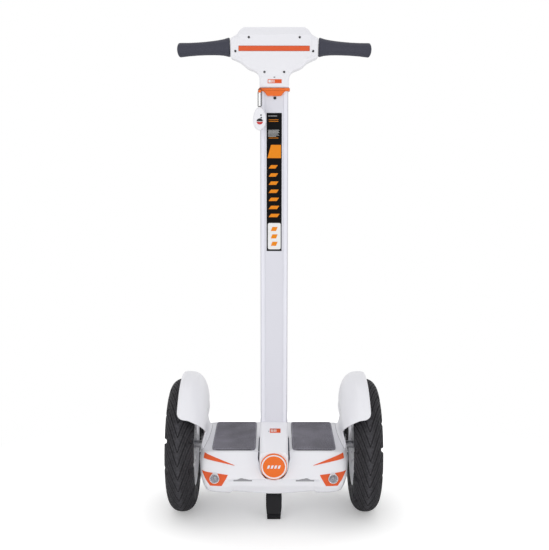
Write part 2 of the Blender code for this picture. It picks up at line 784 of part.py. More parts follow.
def deck_cover(pivot):
    """The top plate, with a seat for each pad and the slot that the neck leans in."""
    inset = SHELL_WALL + TRIM_GAP
    count = 44
    outline = [body_point(2 * pi * (i + 0.5) / count, DECK_HEIGHT, inset)[:2] for i in range(count)]
    deck = plate("deck_cover", [outline], DECK_UNDERSIDE, DECK_HEIGHT, "Z", pivot, "white plastic")
    slot = block("deck_slot", (-SLOT_TOP_HALF_WIDTH, -DECK_HALF_LENGTH - OVERCUT, DECK_HEIGHT - OVERCUT),
                 (SLOT_TOP_HALF_WIDTH, SLOT_END_CLEARANCE - NECK_BACK, DECK_HEIGHT + OVERCUT), pivot)
    combine(deck, slot)
    for label, side in SIDES:
        low, high = pad_corners(side, SEAT_GAP)
        seat = plate(label + "_pad_seat", [rounded_outline(low, high, PAD_CORNER)],
                     DECK_HEIGHT - PAD_RECESS, DECK_HEIGHT + OVERCUT, "Z", pivot)
        combine(deck, seat)


def pad_corners(side, grow=0.0):
    """Low and high plan corners of a foot pad."""
    inner = side * (PAD_INNER_EDGE - grow)
    outer = side * (PAD_INNER_EDGE + PAD_WIDTH + grow)
    half = DECK_HALF_LENGTH - PAD_END_MARGIN + grow
    return (min(inner, outer), -half), (max(inner, outer), half)


def foot_pads(pivot):
    """Rubber pads, seated in the deck."""
    for label, side in SIDES:
        low, high = pad_corners(side)
        bottom = DECK_HEIGHT - PAD_RECESS + SEAT_GAP
        plate(label + "_foot_pad", [rounded_outline(low, high, PAD_CORNER)],
              bottom, bottom + PAD_THICKNESS, "Z", pivot, "pad rubber")


def casing_line():
    """Half widths, heights and half lengths down one side of the casing, from the deck to the middle."""
    edge = SEAM_LENGTH - SEAM_GAP
    heights = (DECK_UNDERSIDE - SEAT_GAP, WAIST_HEIGHT, LIP_HEIGHT + CASING_BAND_RISE,
               LIP_HEIGHT - CASING_BAND_DROP)
    side = [(body_half_width(z), z, edge) for z in heights]
    side.append((CHIN_HALF_WIDTH, CHIN_HEIGHT + CHIN_RISE, edge - SHELL_WALL - TRIM_GAP))
    reach = CHIN_REACH - SHELL_WALL - SEAM_GAP
    floor = [(CHIN_HALF_WIDTH * share, CHIN_HEIGHT + CHIN_RISE * share ** 2, reach * corner_curve(share))
             for share in (0.9, 0.76, 0.55, 0.28, 0.0)]
    return side + floor


def lower_casing(pivot):
    """The tub under the deck, open at the nose and tail, bored for the axle and the stand."""
    half = casing_line()
    line = [(-x, z, y) for x, z, y in half] + [(x, z, y) for x, z, y in half[-2::-1]]
    rows = [[Vector((x, y * share, z)) for x, z, y in line] for share in (-1, 0, 1)]
    tub = sheet("lower_casing", rows, SHELL_WALL, pivot, "white plastic", (0, 0, -1))
    reach = BODY_HALF_WIDTH + OVERCUT
    bore = rod("casing_axle_bore", AXLE_RADIUS + AXLE_CLEARANCE, -reach, reach,
               (0, 0, AXLE_HEIGHT), along_x(1), pivot)
    combine(tub, bore)
    wide = STAND_EAR_OUTER + RUN_GAP
    hole = block("stand_hole", (-wide, -STAND_HINGE_REACH - STAND_HOLE_HALF_LENGTH, CHIN_HEIGHT - OVERCUT),
                 (wide, -STAND_HINGE_REACH + STAND_HOLE_HALF_LENGTH, CHIN_HEIGHT + OVERCUT), pivot)
    combine(tub, hole)


# Trim and lamps


def trim(pivot):
    """Accent stripes, lamp bezels, headlamps and tail lamps."""
    for label, side in SIDES:
        front = (side, -1)
        surface_patch(label + "_accent_stripe", STRIPE_CORNERS, 8, 2, front, pivot, "orange plastic")
        bezel = surface_patch(label + "_lamp_bezel", BEZEL_CORNERS, 8, 4, front, pivot, "orange plastic",
                              LIP_HEIGHT)
        combine(bezel, lamp_bore(label, side, pivot))
        surface_patch(label + "_tail_lamp", TAIL_LAMP_CORNERS, 6, 2, (side, 1), pivot, "red plastic")
        headlamp(label, side, pivot)


def headlamp(label, side, pivot):
    """A round lamp with a domed lens behind a raised rim."""
    front = body_depth(LAMP_PLACE, LAMP_HEIGHT) + LAMP_PROUD
    r = LAMP_RADIUS
    profile = [(0, LAMP_RIM), (0.8 * r, -LAMP_RIM), (0.82 * r, LAMP_RIM), (r, 0), (r, -LAMP_DEPTH),
               (0, -LAMP_DEPTH)]
    turned(label + "_headlamp", profile, (side * LAMP_PLACE, -front, LAMP_HEIGHT), TO_FRONT, pivot,
           "clear lens", LAMP_SIDES)


# Fenders


def fender_line(side, angle):
    """One section of a fender: from its outer lip over the crown and down the inner wall.

    The crown and shoulder follow the tyre at the angle, and the wall runs down to a foot
    on the body's side.
    """
    shoulder = FENDER_CROWN - FENDER_INNER
    section = [(FENDER_OUTER, FENDER_RADIUS - FENDER_LIP_DROP),
               (FENDER_OUTER - FENDER_LIP_ROUND, FENDER_RADIUS - FENDER_LIP_ROUND),
               (FENDER_CROWN + FENDER_LIP_ROUND, FENDER_RADIUS)]
    for step in (0.25, 0.5, 0.72, 0.88, 1.0):
        turn = step * pi / 2
        fall = FENDER_SHOULDER_DROP * (1 - cos(turn))
        section.append((FENDER_CROWN - shoulder * sin(turn), FENDER_RADIUS - fall))
    out, up = sin(angle), cos(angle)
    points = [Vector((side * x, radius * out, AXLE_HEIGHT + radius * up)) for x, radius in section]
    top = points[-1]
    foot_y = FENDER_FOOT_HALF_LENGTH * angle / FENDER_ARC
    middle = Vector((side * (FENDER_INNER + FENDER_WALL), 0.4 * top.y + 0.6 * foot_y,
                     DECK_HEIGHT + 0.4 * (top.z - DECK_HEIGHT)))
    foot_top = Vector((side * (DECK_HALF_WIDTH + RUN_GAP), foot_y, DECK_HEIGHT))
    foot = Vector((side * (body_half_width(FENDER_FOOT_HEIGHT) + RUN_GAP), foot_y, FENDER_FOOT_HEIGHT))
    return points + [middle, foot_top, foot]


def fenders(pivot):
    """Wheel guards that stand on the body's sides."""
    count = 12
    for label, side in SIDES:
        rows = [fender_line(side, FENDER_ARC * (2 * i / count - 1)) for i in range(count + 1)]
        sheet(label + "_fender", rows, FENDER_WALL, pivot, "white plastic", (side * FENDER_CROWN, 0, 1))


# Frame and what it holds


def chassis_frame(pivot):
    """A box plate with axle blocks at its ends and two bearing blocks for the steering shaft."""
    front = FRONT_BEARING_PLACE + BEARING_WIDTH
    frame = block("chassis_frame", (-FRAME_HALF_WIDTH, -front, FRAME_LOW),
                  (FRAME_HALF_WIDTH, DECK_HALF_LENGTH - FRAME_END_MARGIN, FRAME_HIGH), pivot, "silver alloy",
                  rounding=FRAME_CORNER, axis=2)
    outer = body_half_width(LIP_HEIGHT - CASING_BAND_DROP) - SHELL_WALL - RUN_GAP
    for label, side in SIDES:
        low, high = sorted((side * (FRAME_HALF_WIDTH - BLOCK_LAP), side * outer))
        ear = block(label + "_axle_block", (low, -BLOCK_HALF_LENGTH, FRAME_HIGH - OVERLAP),
                    (high, BLOCK_HALF_LENGTH, DECK_UNDERSIDE - SEAT_GAP), pivot)
        combine(frame, ear, "UNION")
    axle_bore = rod("frame_axle_bore", AXLE_RADIUS + SEAT_GAP, -BODY_HALF_WIDTH, BODY_HALF_WIDTH,
                    (0, 0, AXLE_HEIGHT), along_x(1), pivot)
    combine(frame, axle_bore)
    half = BEARING_RADIUS + BEARING_HOLDER_WALL
    low = FRAME_HIGH - OVERLAP
    outline = [(-half, low), (half, low)] + arc((0, PIVOT_HEIGHT), half, 0, pi, 10)
    reach = BEARING_WIDTH / 2 + BEARING_HOLDER_EDGE
    bearings = (("front", -FRONT_BEARING_PLACE), ("rear", REAR_BEARING_PLACE))
    for end, y in bearings:
        combine(frame, plate(end + "_bearing_block", [outline], y - reach, y + reach, "Y", pivot), "UNION")
    shaft_bore = rod("shaft_bore", BEARING_RADIUS + SEAT_GAP, -REAR_BEARING_PLACE - OVERCUT,
                     FRONT_BEARING_PLACE + OVERCUT, (0, 0, PIVOT_HEIGHT), TO_FRONT, pivot)
    combine(frame, shaft_bore)
    for end, y in bearings:
        sleeve(end + "_steering_bearing", SHAFT_RADIUS + SEAT_GAP, BEARING_RADIUS, -BEARING_WIDTH / 2,
               BEARING_WIDTH / 2, (0, y, PIVOT_HEIGHT), TO_FRONT, pivot, "steel", 20)


def battery_and_board(pivot):
    """The battery behind the steering pivot and the control board beside it."""
    floor = FRAME_HIGH + SEAT_GAP
    back = DECK_HALF_LENGTH - BATTERY_END_MARGIN
    block("battery_pack", (-BATTERY_HALF_WIDTH, back - BATTERY_LENGTH, floor),
          (BATTERY_HALF_WIDTH, back, floor + BATTERY_HEIGHT), pivot, "battery wrap", rounding=BATTERY_EDGE)
    inner = -SLOT_TOP_HALF_WIDTH - BOARD_MARGIN
    block("control_board", (inner - BOARD_WIDTH, -BOARD_FRONT, floor),
          (inner, BOARD_LENGTH - BOARD_FRONT, floor + BOARD_THICKNESS), pivot,
          "circuit board", rounding=BOARD_EDGE)


def charge_socket(pivot):
    """The socket's body, seated in its hole in the tail."""
    wide, high = SOCKET_HALF_WIDTH - SEAT_GAP, SOCKET_HALF_HEIGHT - SEAT_GAP
    face = SOCKET_FACE - SOCKET_RECESS
    socket = block("charge_socket", (-wide, face - SOCKET_DEPTH, SOCKET_HEIGHT - high),
                   (wide, face, SOCKET_HEIGHT + high), pivot, "black plastic", rounding=SOCKET_EDGE)
    inlet = rod("inlet_bore", INLET_RADIUS, -INLET_DEPTH, OVERCUT, (0, face, SOCKET_HEIGHT), TO_REAR,
                pivot, steps=20)
    combine(socket, inlet)


def charge_cap(pivot):
    """The lid over the socket, with its hinge barrel along the top edge."""
    face = SOCKET_FACE + SEAT_GAP
    wide = SOCKET_HALF_WIDTH + CAP_LAP
    low = SOCKET_HEIGHT - SOCKET_HALF_HEIGHT - CAP_LAP
    outline = rounded_outline((-wide, low), (wide, CAP_HINGE_HEIGHT), CAP_CORNER)
    lid = plate("charge_port_cap", [outline], face, face + CAP_THICKNESS, "Y", pivot, "black plastic")
    barrel = rod("cap_barrel", CAP_HINGE_RADIUS, -CAP_HINGE_HALF_LENGTH, CAP_HINGE_HALF_LENGTH,
                 (0, face + CAP_HINGE_RADIUS, CAP_HINGE_HEIGHT), along_x(1), pivot, steps=12)
    combine(lid, barrel, "UNION")


# Parking stand


def stand_bracket(pivot):
    """A bracket with two ears under the frame, and the stand's hinge pin."""
    half = BRACKET_HALF_LENGTH
    bracket = block(
        "kickstand_bracket",
        (-STAND_EAR_OUTER, -STAND_HINGE_REACH - half, STAND_HINGE_HEIGHT - BRACKET_DROP),
        (STAND_EAR_OUTER, -STAND_HINGE_REACH + half, FRAME_LOW - SEAT_GAP), pivot, "steel")
    gap = block(
        "bracket_gap",
        (-STAND_EAR_INNER, -STAND_HINGE_REACH - half - OVERCUT, STAND_HINGE_HEIGHT - OVERCUT),
        (STAND_EAR_INNER, -STAND_HINGE_REACH + half + OVERCUT, STAND_HINGE_HEIGHT + BRACKET_ROOM), pivot)
    combine(bracket, gap)
    combine(bracket, stand_bore("bracket_bore", pivot))
    reach = STAND_EAR_OUTER + STAND_PIN_END
    rod("kickstand_pin", STAND_PIN_RADIUS, -reach, reach, (0, -STAND_HINGE_REACH, STAND_HINGE_HEIGHT),
        along_x(1), pivot, "steel", steps=20)


def stand_bore(name, pivot):
    """Cutter for the stand's hinge pin."""
    reach = STAND_EAR_OUTER + OVERCUT
    return rod(name, STAND_PIN_RADIUS + SEAT_GAP, -reach, reach,
               (0, -STAND_HINGE_REACH, STAND_HINGE_HEIGHT), along_x(1), pivot, steps=20)


def ground_height(reach):
    """Height of the ground in the machine frame, straight under the parked machine's front."""
    return AXLE_HEIGHT - TYRE_RADIUS / cos(PARK_LEAN) + reach * tan(PARK_LEAN)


def stand(pivot):
    """The stand's leg, with a tongue that sits in its rubber foot."""
    foot_top = ground_height(STAND_FOOT_REACH) + STAND_FOOT_HEIGHT
    half = STAND_THICKNESS / 2
    knee = STAND_HINGE_HEIGHT - STAND_KNEE_DROP
    stations = (
        (-STAND_HINGE_REACH, STAND_HINGE_HEIGHT + STAND_HEEL, STAND_HALF_WIDTH),
        (-STAND_HINGE_REACH, STAND_HINGE_HEIGHT - STAND_SHANK, STAND_HALF_WIDTH),
        (-STAND_HINGE_REACH - STAND_KNEE_REACH, knee, STAND_HALF_WIDTH + STAND_KNEE_SPREAD),
        (-STAND_FOOT_REACH, foot_top + SEAM_GAP, STAND_FOOT_HALF_WIDTH),
    )
    corners = ((-1, -1), (1, -1), (1, 1), (-1, 1))
    rings = [[Vector((sx * wide, y + sy * half, z)) for sx, sy in corners] for y, z, wide in stations]
    leg = loft("kickstand_leg", rings, pivot, "black plastic")
    bevel = leg.modifiers.new("Edges", "BEVEL")
    bevel.width = STAND_EDGE
    bevel.segments = 2
    wide, deep = STAND_FOOT_HALF_WIDTH - STAND_TONGUE_INSET, half - STAND_TONGUE_INSET
    tongue_low = Vector((-wide, -STAND_FOOT_REACH - deep, foot_top - STAND_TONGUE))
    tongue_high = Vector((wide, -STAND_FOOT_REACH + deep, foot_top + STAND_SHANK))
    combine(leg, block("leg_tongue", tongue_low, tongue_high, pivot), "UNION")
    combine(leg, stand_bore("leg_bore", pivot))
    sole_place = (0, -STAND_FOOT_REACH, ground_height(STAND_FOOT_REACH))
    sole = Pivot("stand_sole", sole_place, pivot, -PARK_LEAN, own_frame=True)
    foot = block("kickstand_foot", (-STAND_FOOT_HALF_WIDTH, -STAND_FOOT_LENGTH / 2, 0),
                 (STAND_FOOT_HALF_WIDTH, STAND_FOOT_LENGTH / 2, STAND_FOOT_HEIGHT), sole,
                 "black plastic", rounding=STAND_EDGE)
    gap = Vector((SEAT_GAP, SEAT_GAP, SEAT_GAP))
    combine(foot, block("foot_pocket", tongue_low - gap, tongue_high + gap, pivot))


# Wheels


def wheel(label, side, pivot):
    """Tyre, rim and motor shell. Heights in the profiles run outwards from the wheel's middle."""
    place = (side * HALF_TRACK, 0, AXLE_HEIGHT)
    turn = along_x(side)
    tyre(label, side, place, turn, pivot)
    rim(label, side, place, turn, pivot)
    hub(label, place, turn, pivot)


def tyre_line(half_width, top, turns, sunk=0.0):
    """Points over the tyre's outer or inner face, an oval open at the rim, from bead to bead.

    Turns rise over one shoulder to the crown, and the other side mirrors them. The points of a
    notch are sunk towards the middle of the oval.
    """
    bottom = RIM_RADIUS - BEAD_DEPTH
    center, half_depth = (top + bottom) / 2, (top - bottom) / 2
    bead = asin((RIM_RADIUS + SEAT_GAP - center) / half_depth)
    side = [(half_depth * sin(a), half_width * cos(a), a in NOTCH_TURNS) for a in [bead] + turns]
    line = []
    for rise, across, notched in side:
        share = 1 - sunk / hypot(rise, across) if notched else 1
        line.append((center + rise * share, across * share))
    mirror = [(radius, -across) for radius, across in reversed(line)]
    return line + [(top, 0.0)] + mirror


def tread_rows():
    """Turns around the wheel and how deep the shoulder notch is there, for every notch."""
    mouth, floor = NOTCH_MOUTH / TYRE_RADIUS / 2, NOTCH_FLOOR / TYRE_RADIUS / 2
    pitch = 2 * pi / NOTCH_COUNT
    steps = [(-mouth, 0.0), (-floor, NOTCH_DEPTH), (floor, NOTCH_DEPTH), (mouth, 0.0), (pitch / 2, 0.0)]
    return [(k * pitch + turn, depth) for k in range(NOTCH_COUNT) for turn, depth in steps]


def tyre(label, side, place, turn, pivot):
    """A hollow tyre, its beads on the rim and both its shoulders notched."""
    inner = tyre_line(TYRE_WIDTH / 2 - TYRE_WALL, TYRE_RADIUS - TREAD_THICKNESS, [0.0])[::-1]
    points = []
    for around, sunk in tread_rows():
        section = tyre_line(TYRE_WIDTH / 2, TYRE_RADIUS, SHOULDER_TURNS, sunk) + inner
        angle = -pi / 2 - side * (FIRST_NOTCH[label] + around)
        points += [(radius * cos(angle), radius * sin(angle), height) for radius, height in section]
    count, rows = len(section), len(tread_rows())
    faces = [
        (
            r * count + i,
            r * count + (i + 1) % count,
            (r + 1) % rows * count + (i + 1) % count,
            (r + 1) % rows * count + i,
        )
        for r in range(rows)
        for i in range(count)
    ]
    mesh = mesh_from(label + "_tyre", points, faces=faces)
    obj = build_object(label + "_tyre", mesh, pivot, "tyre rubber")
    obj.location += Vector(place)
    obj.rotation_euler = Euler(turn)


def rim(label, side, place, turn, pivot):
    """The rim ring, its spokes and the band that clamps the motor shell."""
    half = RIM_WIDTH / 2
    inner = RIM_RADIUS - RIM_THICKNESS
    edge = RIM_RADIUS - RIM_EDGE_THICKNESS
    profile = [(edge, half), (RIM_RADIUS, half), (RIM_RADIUS, -half), (edge, -half),
               (inner, -half + RIM_EDGE_WIDTH), (inner, half - RIM_EDGE_WIDTH)]
    ring = turned(label + "_rim", profile, place, turn, pivot, "silver alloy", 36, ring=True)
    reach = SPOKE_THICKNESS / 2 + SEAM_GAP
    low = (-SPOKE_WIDTH / 2, HUB_RADIUS + OVERLAP, -SPOKE_THICKNESS / 2)
    high = (SPOKE_WIDTH / 2, inner + OVERLAP, SPOKE_THICKNESS / 2)
    for i in range(SPOKE_COUNT):
        spoke = block("%s_spoke_%d" % (label, i), low, high, pivot)
        middle = Vector(place) + Vector((side * SPOKE_OFFSET, 0, 0)) - pivot.place
        spin = Matrix.Rotation(2 * pi * i / SPOKE_COUNT, 4, "X")
        spoke.matrix_local = Matrix.Translation(middle) @ spin @ Euler(turn).to_matrix().to_4x4()
        combine(ring, spoke, "UNION")
    band = sleeve(label + "_rim_band", HUB_RADIUS + SEAT_GAP, HUB_RADIUS + BAND_THICKNESS,
                  SPOKE_OFFSET - reach, SPOKE_OFFSET + reach, place, turn, pivot, steps=24)
    combine(ring, band, "UNION")


def hub(label, place, turn, pivot):
    """The motor's turning shell with an open bore inboard, and the cap on its outer face."""
    half, wall, edge = HUB_WIDTH / 2, HUB_WALL, HUB_EDGE
    bore = AXLE_RADIUS + SEAT_GAP
    profile = [(0, half), (HUB_RADIUS - edge, half), (HUB_RADIUS, half - edge),
               (HUB_RADIUS, edge - half), (HUB_RADIUS - edge, -half), (bore, -half),
               (bore, wall - half), (HUB_RADIUS - wall, wall - half),
               (HUB_RADIUS - wall, half - wall), (0, half - wall)]
    turned(label + "_hub_shell", profile, place, turn, pivot, "silver alloy", 24)
    low = half + SEAT_GAP
    cap = [(0, low + HUB_CAP_HEIGHT), (HUB_CAP_FLAT, low + HUB_CAP_HEIGHT),
           (HUB_CAP_RADIUS, low + HUB_CAP_EDGE), (HUB_CAP_RADIUS, low), (0, low)]
    turned(label + "_hub_cap", cap, place, turn, pivot, "white plastic", 24)


def motor(label, side, pivot):
    """The fixed axle and the stator that it carries inside the motor shell."""
    place = (side * HALF_TRACK, 0, AXLE_HEIGHT)
    inner_end = FRAME_HALF_WIDTH - BLOCK_LAP - HALF_TRACK
    outer_end = HUB_WIDTH / 2 - HUB_WALL - SEAT_GAP
    rod(label + "_axle", AXLE_RADIUS, inner_end, outer_end, place, along_x(side), pivot, "steel", 20)
    reach = HUB_WIDTH / 2 - HUB_WALL - STATOR_GAP
    outer = HUB_RADIUS - HUB_WALL - STATOR_GAP
    sleeve(label + "_motor_stator", AXLE_RADIUS + SEAT_GAP, outer, -reach, reach, place, along_x(side),
           pivot, "black plastic", 20)


# Steering group


def neck_section(y, grow):
    """The neck's outline across the machine at a distance in front of the axle."""
    ramp_top = -COLUMN_FRONT - NECK_SHOULDER
    share = min(1.0, max(0.0, (y + NECK_FRONT) / (ramp_top + NECK_FRONT)))
    height = NECK_NOSE_HEIGHT + (NECK_HEIGHT - NECK_NOSE_HEIGHT) * share + grow
    half = NECK_HALF_WIDTH + grow
    squareness = min(1.0, share / NECK_ROUND_SHARE)
    corner = NECK_HALF_WIDTH + (NECK_EDGE_RADIUS - NECK_HALF_WIDTH) * squareness + grow
    low = PIVOT_HEIGHT - NECK_SKIRT - (OVERCUT if grow else 0)
    right = arc((half - corner, height - corner), corner, 0, pi / 2, 5)
    left = [(-x, z) for x, z in right[::-1]]
    return [Vector((x, y, z)) for x, z in [(half, low)] + right + left + [(-half, low)]]


def neck_cover(pivot):
    """The hump that leans with the column: a ramp in front, open below, round at its nose."""
    ramp_top = -COLUMN_FRONT - NECK_SHOULDER
    ramp = [-NECK_FRONT + (ramp_top + NECK_FRONT) * share for share in (0, 0.12, 0.3, 0.5, 1)]
    cover = loft("neck_cover", [neck_section(y, 0.0) for y in ramp + [-NECK_BACK]], pivot, "white plastic")
    inside = [-NECK_FRONT + NECK_FACE_WALL] + ramp[1:] + [-NECK_BACK - NECK_WALL]
    combine(cover, loft("neck_hollow", [neck_section(y, -NECK_WALL) for y in inside], pivot))
    boss = rod("neck_boss", BOSS_RADIUS, BOSS_FACE - BOSS_THICKNESS, BOSS_FACE,
               (0, 0, PIVOT_HEIGHT), TO_FRONT, pivot, steps=28)
    combine(cover, boss, "UNION")
    passage = rod("shaft_passage", SHAFT_RADIUS + AXLE_CLEARANCE, -OVERCUT, NECK_BACK + OVERCUT,
                  (0, 0, PIVOT_HEIGHT), TO_FRONT, pivot, steps=20)
    combine(cover, passage)
    half = COLUMN_WIDTH / 2 + SEAT_GAP
    hole = block("column_hole", (-half, -COLUMN_FRONT - SEAT_GAP, NECK_HEIGHT - OVERCUT),
                 (half, -COLUMN_BACK + SEAT_GAP, NECK_HEIGHT + OVERCUT), pivot,
                 rounding=COLUMN_CORNER, axis=2)
    combine(cover, hole)


def badge(pivot):
    """The round badge on the pivot's nose: a dished ring and the disc in it."""
    place = (0, -BOSS_FACE - SEAT_GAP, PIVOT_HEIGHT)
    r, t, edge = BADGE_RADIUS, BADGE_THICKNESS, BADGE_EDGE
    inner = r - BADGE_RIM
    dish = [(0, t / 2), (inner, t / 2), (inner, t), (r - edge, t), (r, t - edge), (r, 0), (0, 0)]
    turned("badge_ring", dish, place, TO_FRONT, pivot, "silver alloy", 32)
    disc = [(0, t), (inner - edge, t), (inner - SEAT_GAP, t - edge), (inner - SEAT_GAP, t / 2 + SEAT_GAP),
            (0, t / 2 + SEAT_GAP)]
    turned("badge_disc", disc, place, TO_FRONT, pivot, "orange plastic", 32)


def steering_shaft_and_hub(pivot):
    """The pivot shaft and the block on it that carries the column."""
    front = BOSS_FACE - BOSS_THICKNESS - SEAT_GAP
    rod("steering_shaft", SHAFT_RADIUS, -REAR_BEARING_PLACE - BEARING_WIDTH / 2 - SHAFT_END, front,
        (0, 0, PIVOT_HEIGHT), TO_FRONT, pivot, "steel", 20)
    shoulder = COLUMN_LOW - SEAT_GAP
    hub_block = block(
        "steering_hub",
        (-HUB_BLOCK_HALF_WIDTH, -COLUMN_FRONT - HUB_BLOCK_LAP, PIVOT_HEIGHT - HUB_BLOCK_DROP),
        (HUB_BLOCK_HALF_WIDTH, -COLUMN_BACK + HUB_BLOCK_BACK, shoulder), pivot, "steel",
        rounding=HUB_BLOCK_EDGE, axis=2)
    inside = COLUMN_WIDTH / 2 - COLUMN_WALL - SPIGOT_CLEARANCE
    spigot = block(
        "column_spigot",
        (-inside, -COLUMN_FRONT + COLUMN_WALL + COLUMN_PANEL_DEPTH + SEAT_GAP, shoulder - OVERLAP),
        (inside, -COLUMN_BACK - COLUMN_WALL - SEAT_GAP, shoulder + SPIGOT_HEIGHT), pivot)
    combine(hub_block, spigot, "UNION")
    bore = rod("hub_bore", SHAFT_RADIUS + SEAT_GAP, -OVERCUT, COLUMN_FRONT + OVERCUT,
               (0, 0, PIVOT_HEIGHT), TO_FRONT, pivot, steps=20)
    combine(hub_block, bore)


def column(pivot):
    """The extruded column with a shallow panel down its front, its label strip, screw and collar."""
    half = COLUMN_WIDTH / 2
    outer = rounded_outline((-half, -COLUMN_FRONT), (half, -COLUMN_BACK), COLUMN_CORNER)
    inner = rounded_outline((-half + COLUMN_WALL, -COLUMN_FRONT + COLUMN_WALL + COLUMN_PANEL_DEPTH),
                            (half - COLUMN_WALL, -COLUMN_BACK - COLUMN_WALL), COLUMN_CORNER - COLUMN_WALL, 2)
    tube = plate("column_tube", [outer, inner], COLUMN_LOW, COLUMN_TOP, "Z", pivot, "silver alloy")
    panel = block("column_panel", (-COLUMN_PANEL_HALF_WIDTH, -COLUMN_FRONT - OVERCUT, COLUMN_LOW - OVERCUT),
                  (COLUMN_PANEL_HALF_WIDTH, -COLUMN_FRONT + COLUMN_PANEL_DEPTH, COLUMN_TOP + OVERCUT), pivot)
    combine(tube, panel)
    face = -COLUMN_FRONT + COLUMN_PANEL_DEPTH - SEAT_GAP
    high = COLUMN_TOP - LABEL_DROP
    block("column_label_strip", (-LABEL_WIDTH / 2, face - LABEL_THICKNESS, high - LABEL_LENGTH),
          (LABEL_WIDTH / 2, face, high), pivot, "black plastic", rounding=LABEL_CORNER, axis=1)
    rod("column_screw", SCREW_RADIUS, 0, SCREW_HEIGHT, (0, face, COLUMN_TOP - SCREW_DROP), TO_FRONT, pivot,
        "black plastic", steps=12)
    collar(pivot)


def collar(pivot):
    """The orange band around the column's top, with a front flap and the peg for the key fob."""
    half = COLUMN_WIDTH / 2 + SEAT_GAP
    wall = COLLAR_WALL
    front = -COLUMN_FRONT - SEAT_GAP
    back = -COLUMN_BACK + SEAT_GAP
    inner = rounded_outline((-half, front), (half, back), COLUMN_CORNER)
    outer = rounded_outline((-half - wall, front - wall), (half + wall, back + wall),
                            COLUMN_CORNER + wall, 4)
    band = plate("column_collar", [outer, inner], COLLAR_LOW, COLLAR_HIGH, "Z", pivot, "orange plastic")
    low, high = COLLAR_LOW - COLLAR_FLAP_DROP, COLLAR_LOW + COLLAR_FLAP_LAP
    narrow, wide = COLLAR_FLAP_HALF_WIDTH, COLLAR_FLAP_HALF_WIDTH + COLLAR_FLAP_SPREAD
    flap = plate("collar_flap", [[(-narrow, low), (narrow, low), (wide, high), (-wide, high)]],
                 front - wall - SEAT_GAP, front - SEAT_GAP, "Y", pivot)
    combine(band, flap, "UNION")
    start = -front + wall - OVERLAP
    end = start + PEG_LENGTH
    neck = end - PEG_HEAD_THICKNESS
    profile = [(0, end), (PEG_HEAD_RADIUS, end), (PEG_HEAD_RADIUS, neck), (PEG_RADIUS, neck),
               (PEG_RADIUS, start), (0, start)]
    peg = turned("fob_peg", profile, (-PEG_OFFSET, 0, PEG_HEIGHT), TO_FRONT, pivot, steps=12)
    combine(band, peg, "UNION")


# Head


def head_outline():
    """The head's front outline, a T with chamfered shoulders, counter-clockwise."""
    wall = COLUMN_WIDTH / 2 + HEAD_COLUMN_WALL
    half = [(wall, HEAD_LOW), (wall + RUN_GAP, HEAD_LOW + HEAD_NECK_RISE)]
    half += [(x, HEAD_TOP - drop) for x, drop in HEAD_GUSSET]
    half += [(HEAD_HALF_WIDTH, HEAD_TOP - drop) for drop in (HEAD_CHEEK_LOW_DROP, HEAD_CHEEK_HIGH_DROP)]
    half += [(HEAD_HALF_WIDTH - inset, HEAD_TOP - drop) for inset, drop in HEAD_SHOULDER]
    return half + [(-x, z) for x, z in half[::-1]]


def inset_outline(outline, inset):
    """A counter-clockwise outline moved inwards by a distance."""
    moved = []
    count = len(outline)
    for i in range(count):
        before, here, after = (Vector(outline[(i + k) % count]) for k in (-1, 0, 1))
        first = (here - before).normalized()
        second = (after - here).normalized()
        inwards = Vector((-first.y, first.x))
        middle = (inwards + Vector((-second.y, second.x))).normalized()
        moved.append(tuple(here + middle * inset / max(0.3, middle.dot(inwards))))
    return moved


def head_half(name, near, far, pivot):
    """One shell of the head. near is its outer face and far its open side, as Y values."""
    low, high = sorted((near, far))
    shell = plate(name, [head_outline()], low, high, "Y", pivot, "white plastic")
    bevel = shell.modifiers.new("Edge", "BEVEL")
    bevel.width = HEAD_EDGE
    bevel.segments = 2
    bevel.limit_method = "WEIGHT"
    weights = shell.data.attributes.new("bevel_weight_edge", "FLOAT", "EDGE")
    for edge in shell.data.edges:
        ends = [shell.data.vertices[i].co.y for i in edge.vertices]
        if all(abs(y - near) < SEAT_GAP for y in ends):
            weights.data[edge.index].value = 1.0
    wall = HEAD_WALL if far > near else -HEAD_WALL
    low, high = sorted((near + wall, far + wall))
    pocket = plate(name + "_pocket", [inset_outline(head_outline(), HEAD_WALL)], low, high, "Y", pivot)
    combine(shell, pocket)
    half = COLUMN_WIDTH / 2 + SEAT_GAP
    throat = block(name + "_throat", (-half, -COLUMN_FRONT - SEAT_GAP, HEAD_LOW - OVERCUT),
                   (half, -COLUMN_BACK + SEAT_GAP, COLUMN_TOP + SEAT_GAP), pivot)
    combine(shell, throat)
    reach = HEAD_HALF_WIDTH + OVERCUT
    bore = rod(name + "_bar_bore", BAR_RADIUS + SEAT_GAP, -reach, reach, (0, -BAR_REACH, BAR_HEIGHT),
               along_x(1), pivot)
    combine(shell, bore)
    return shell


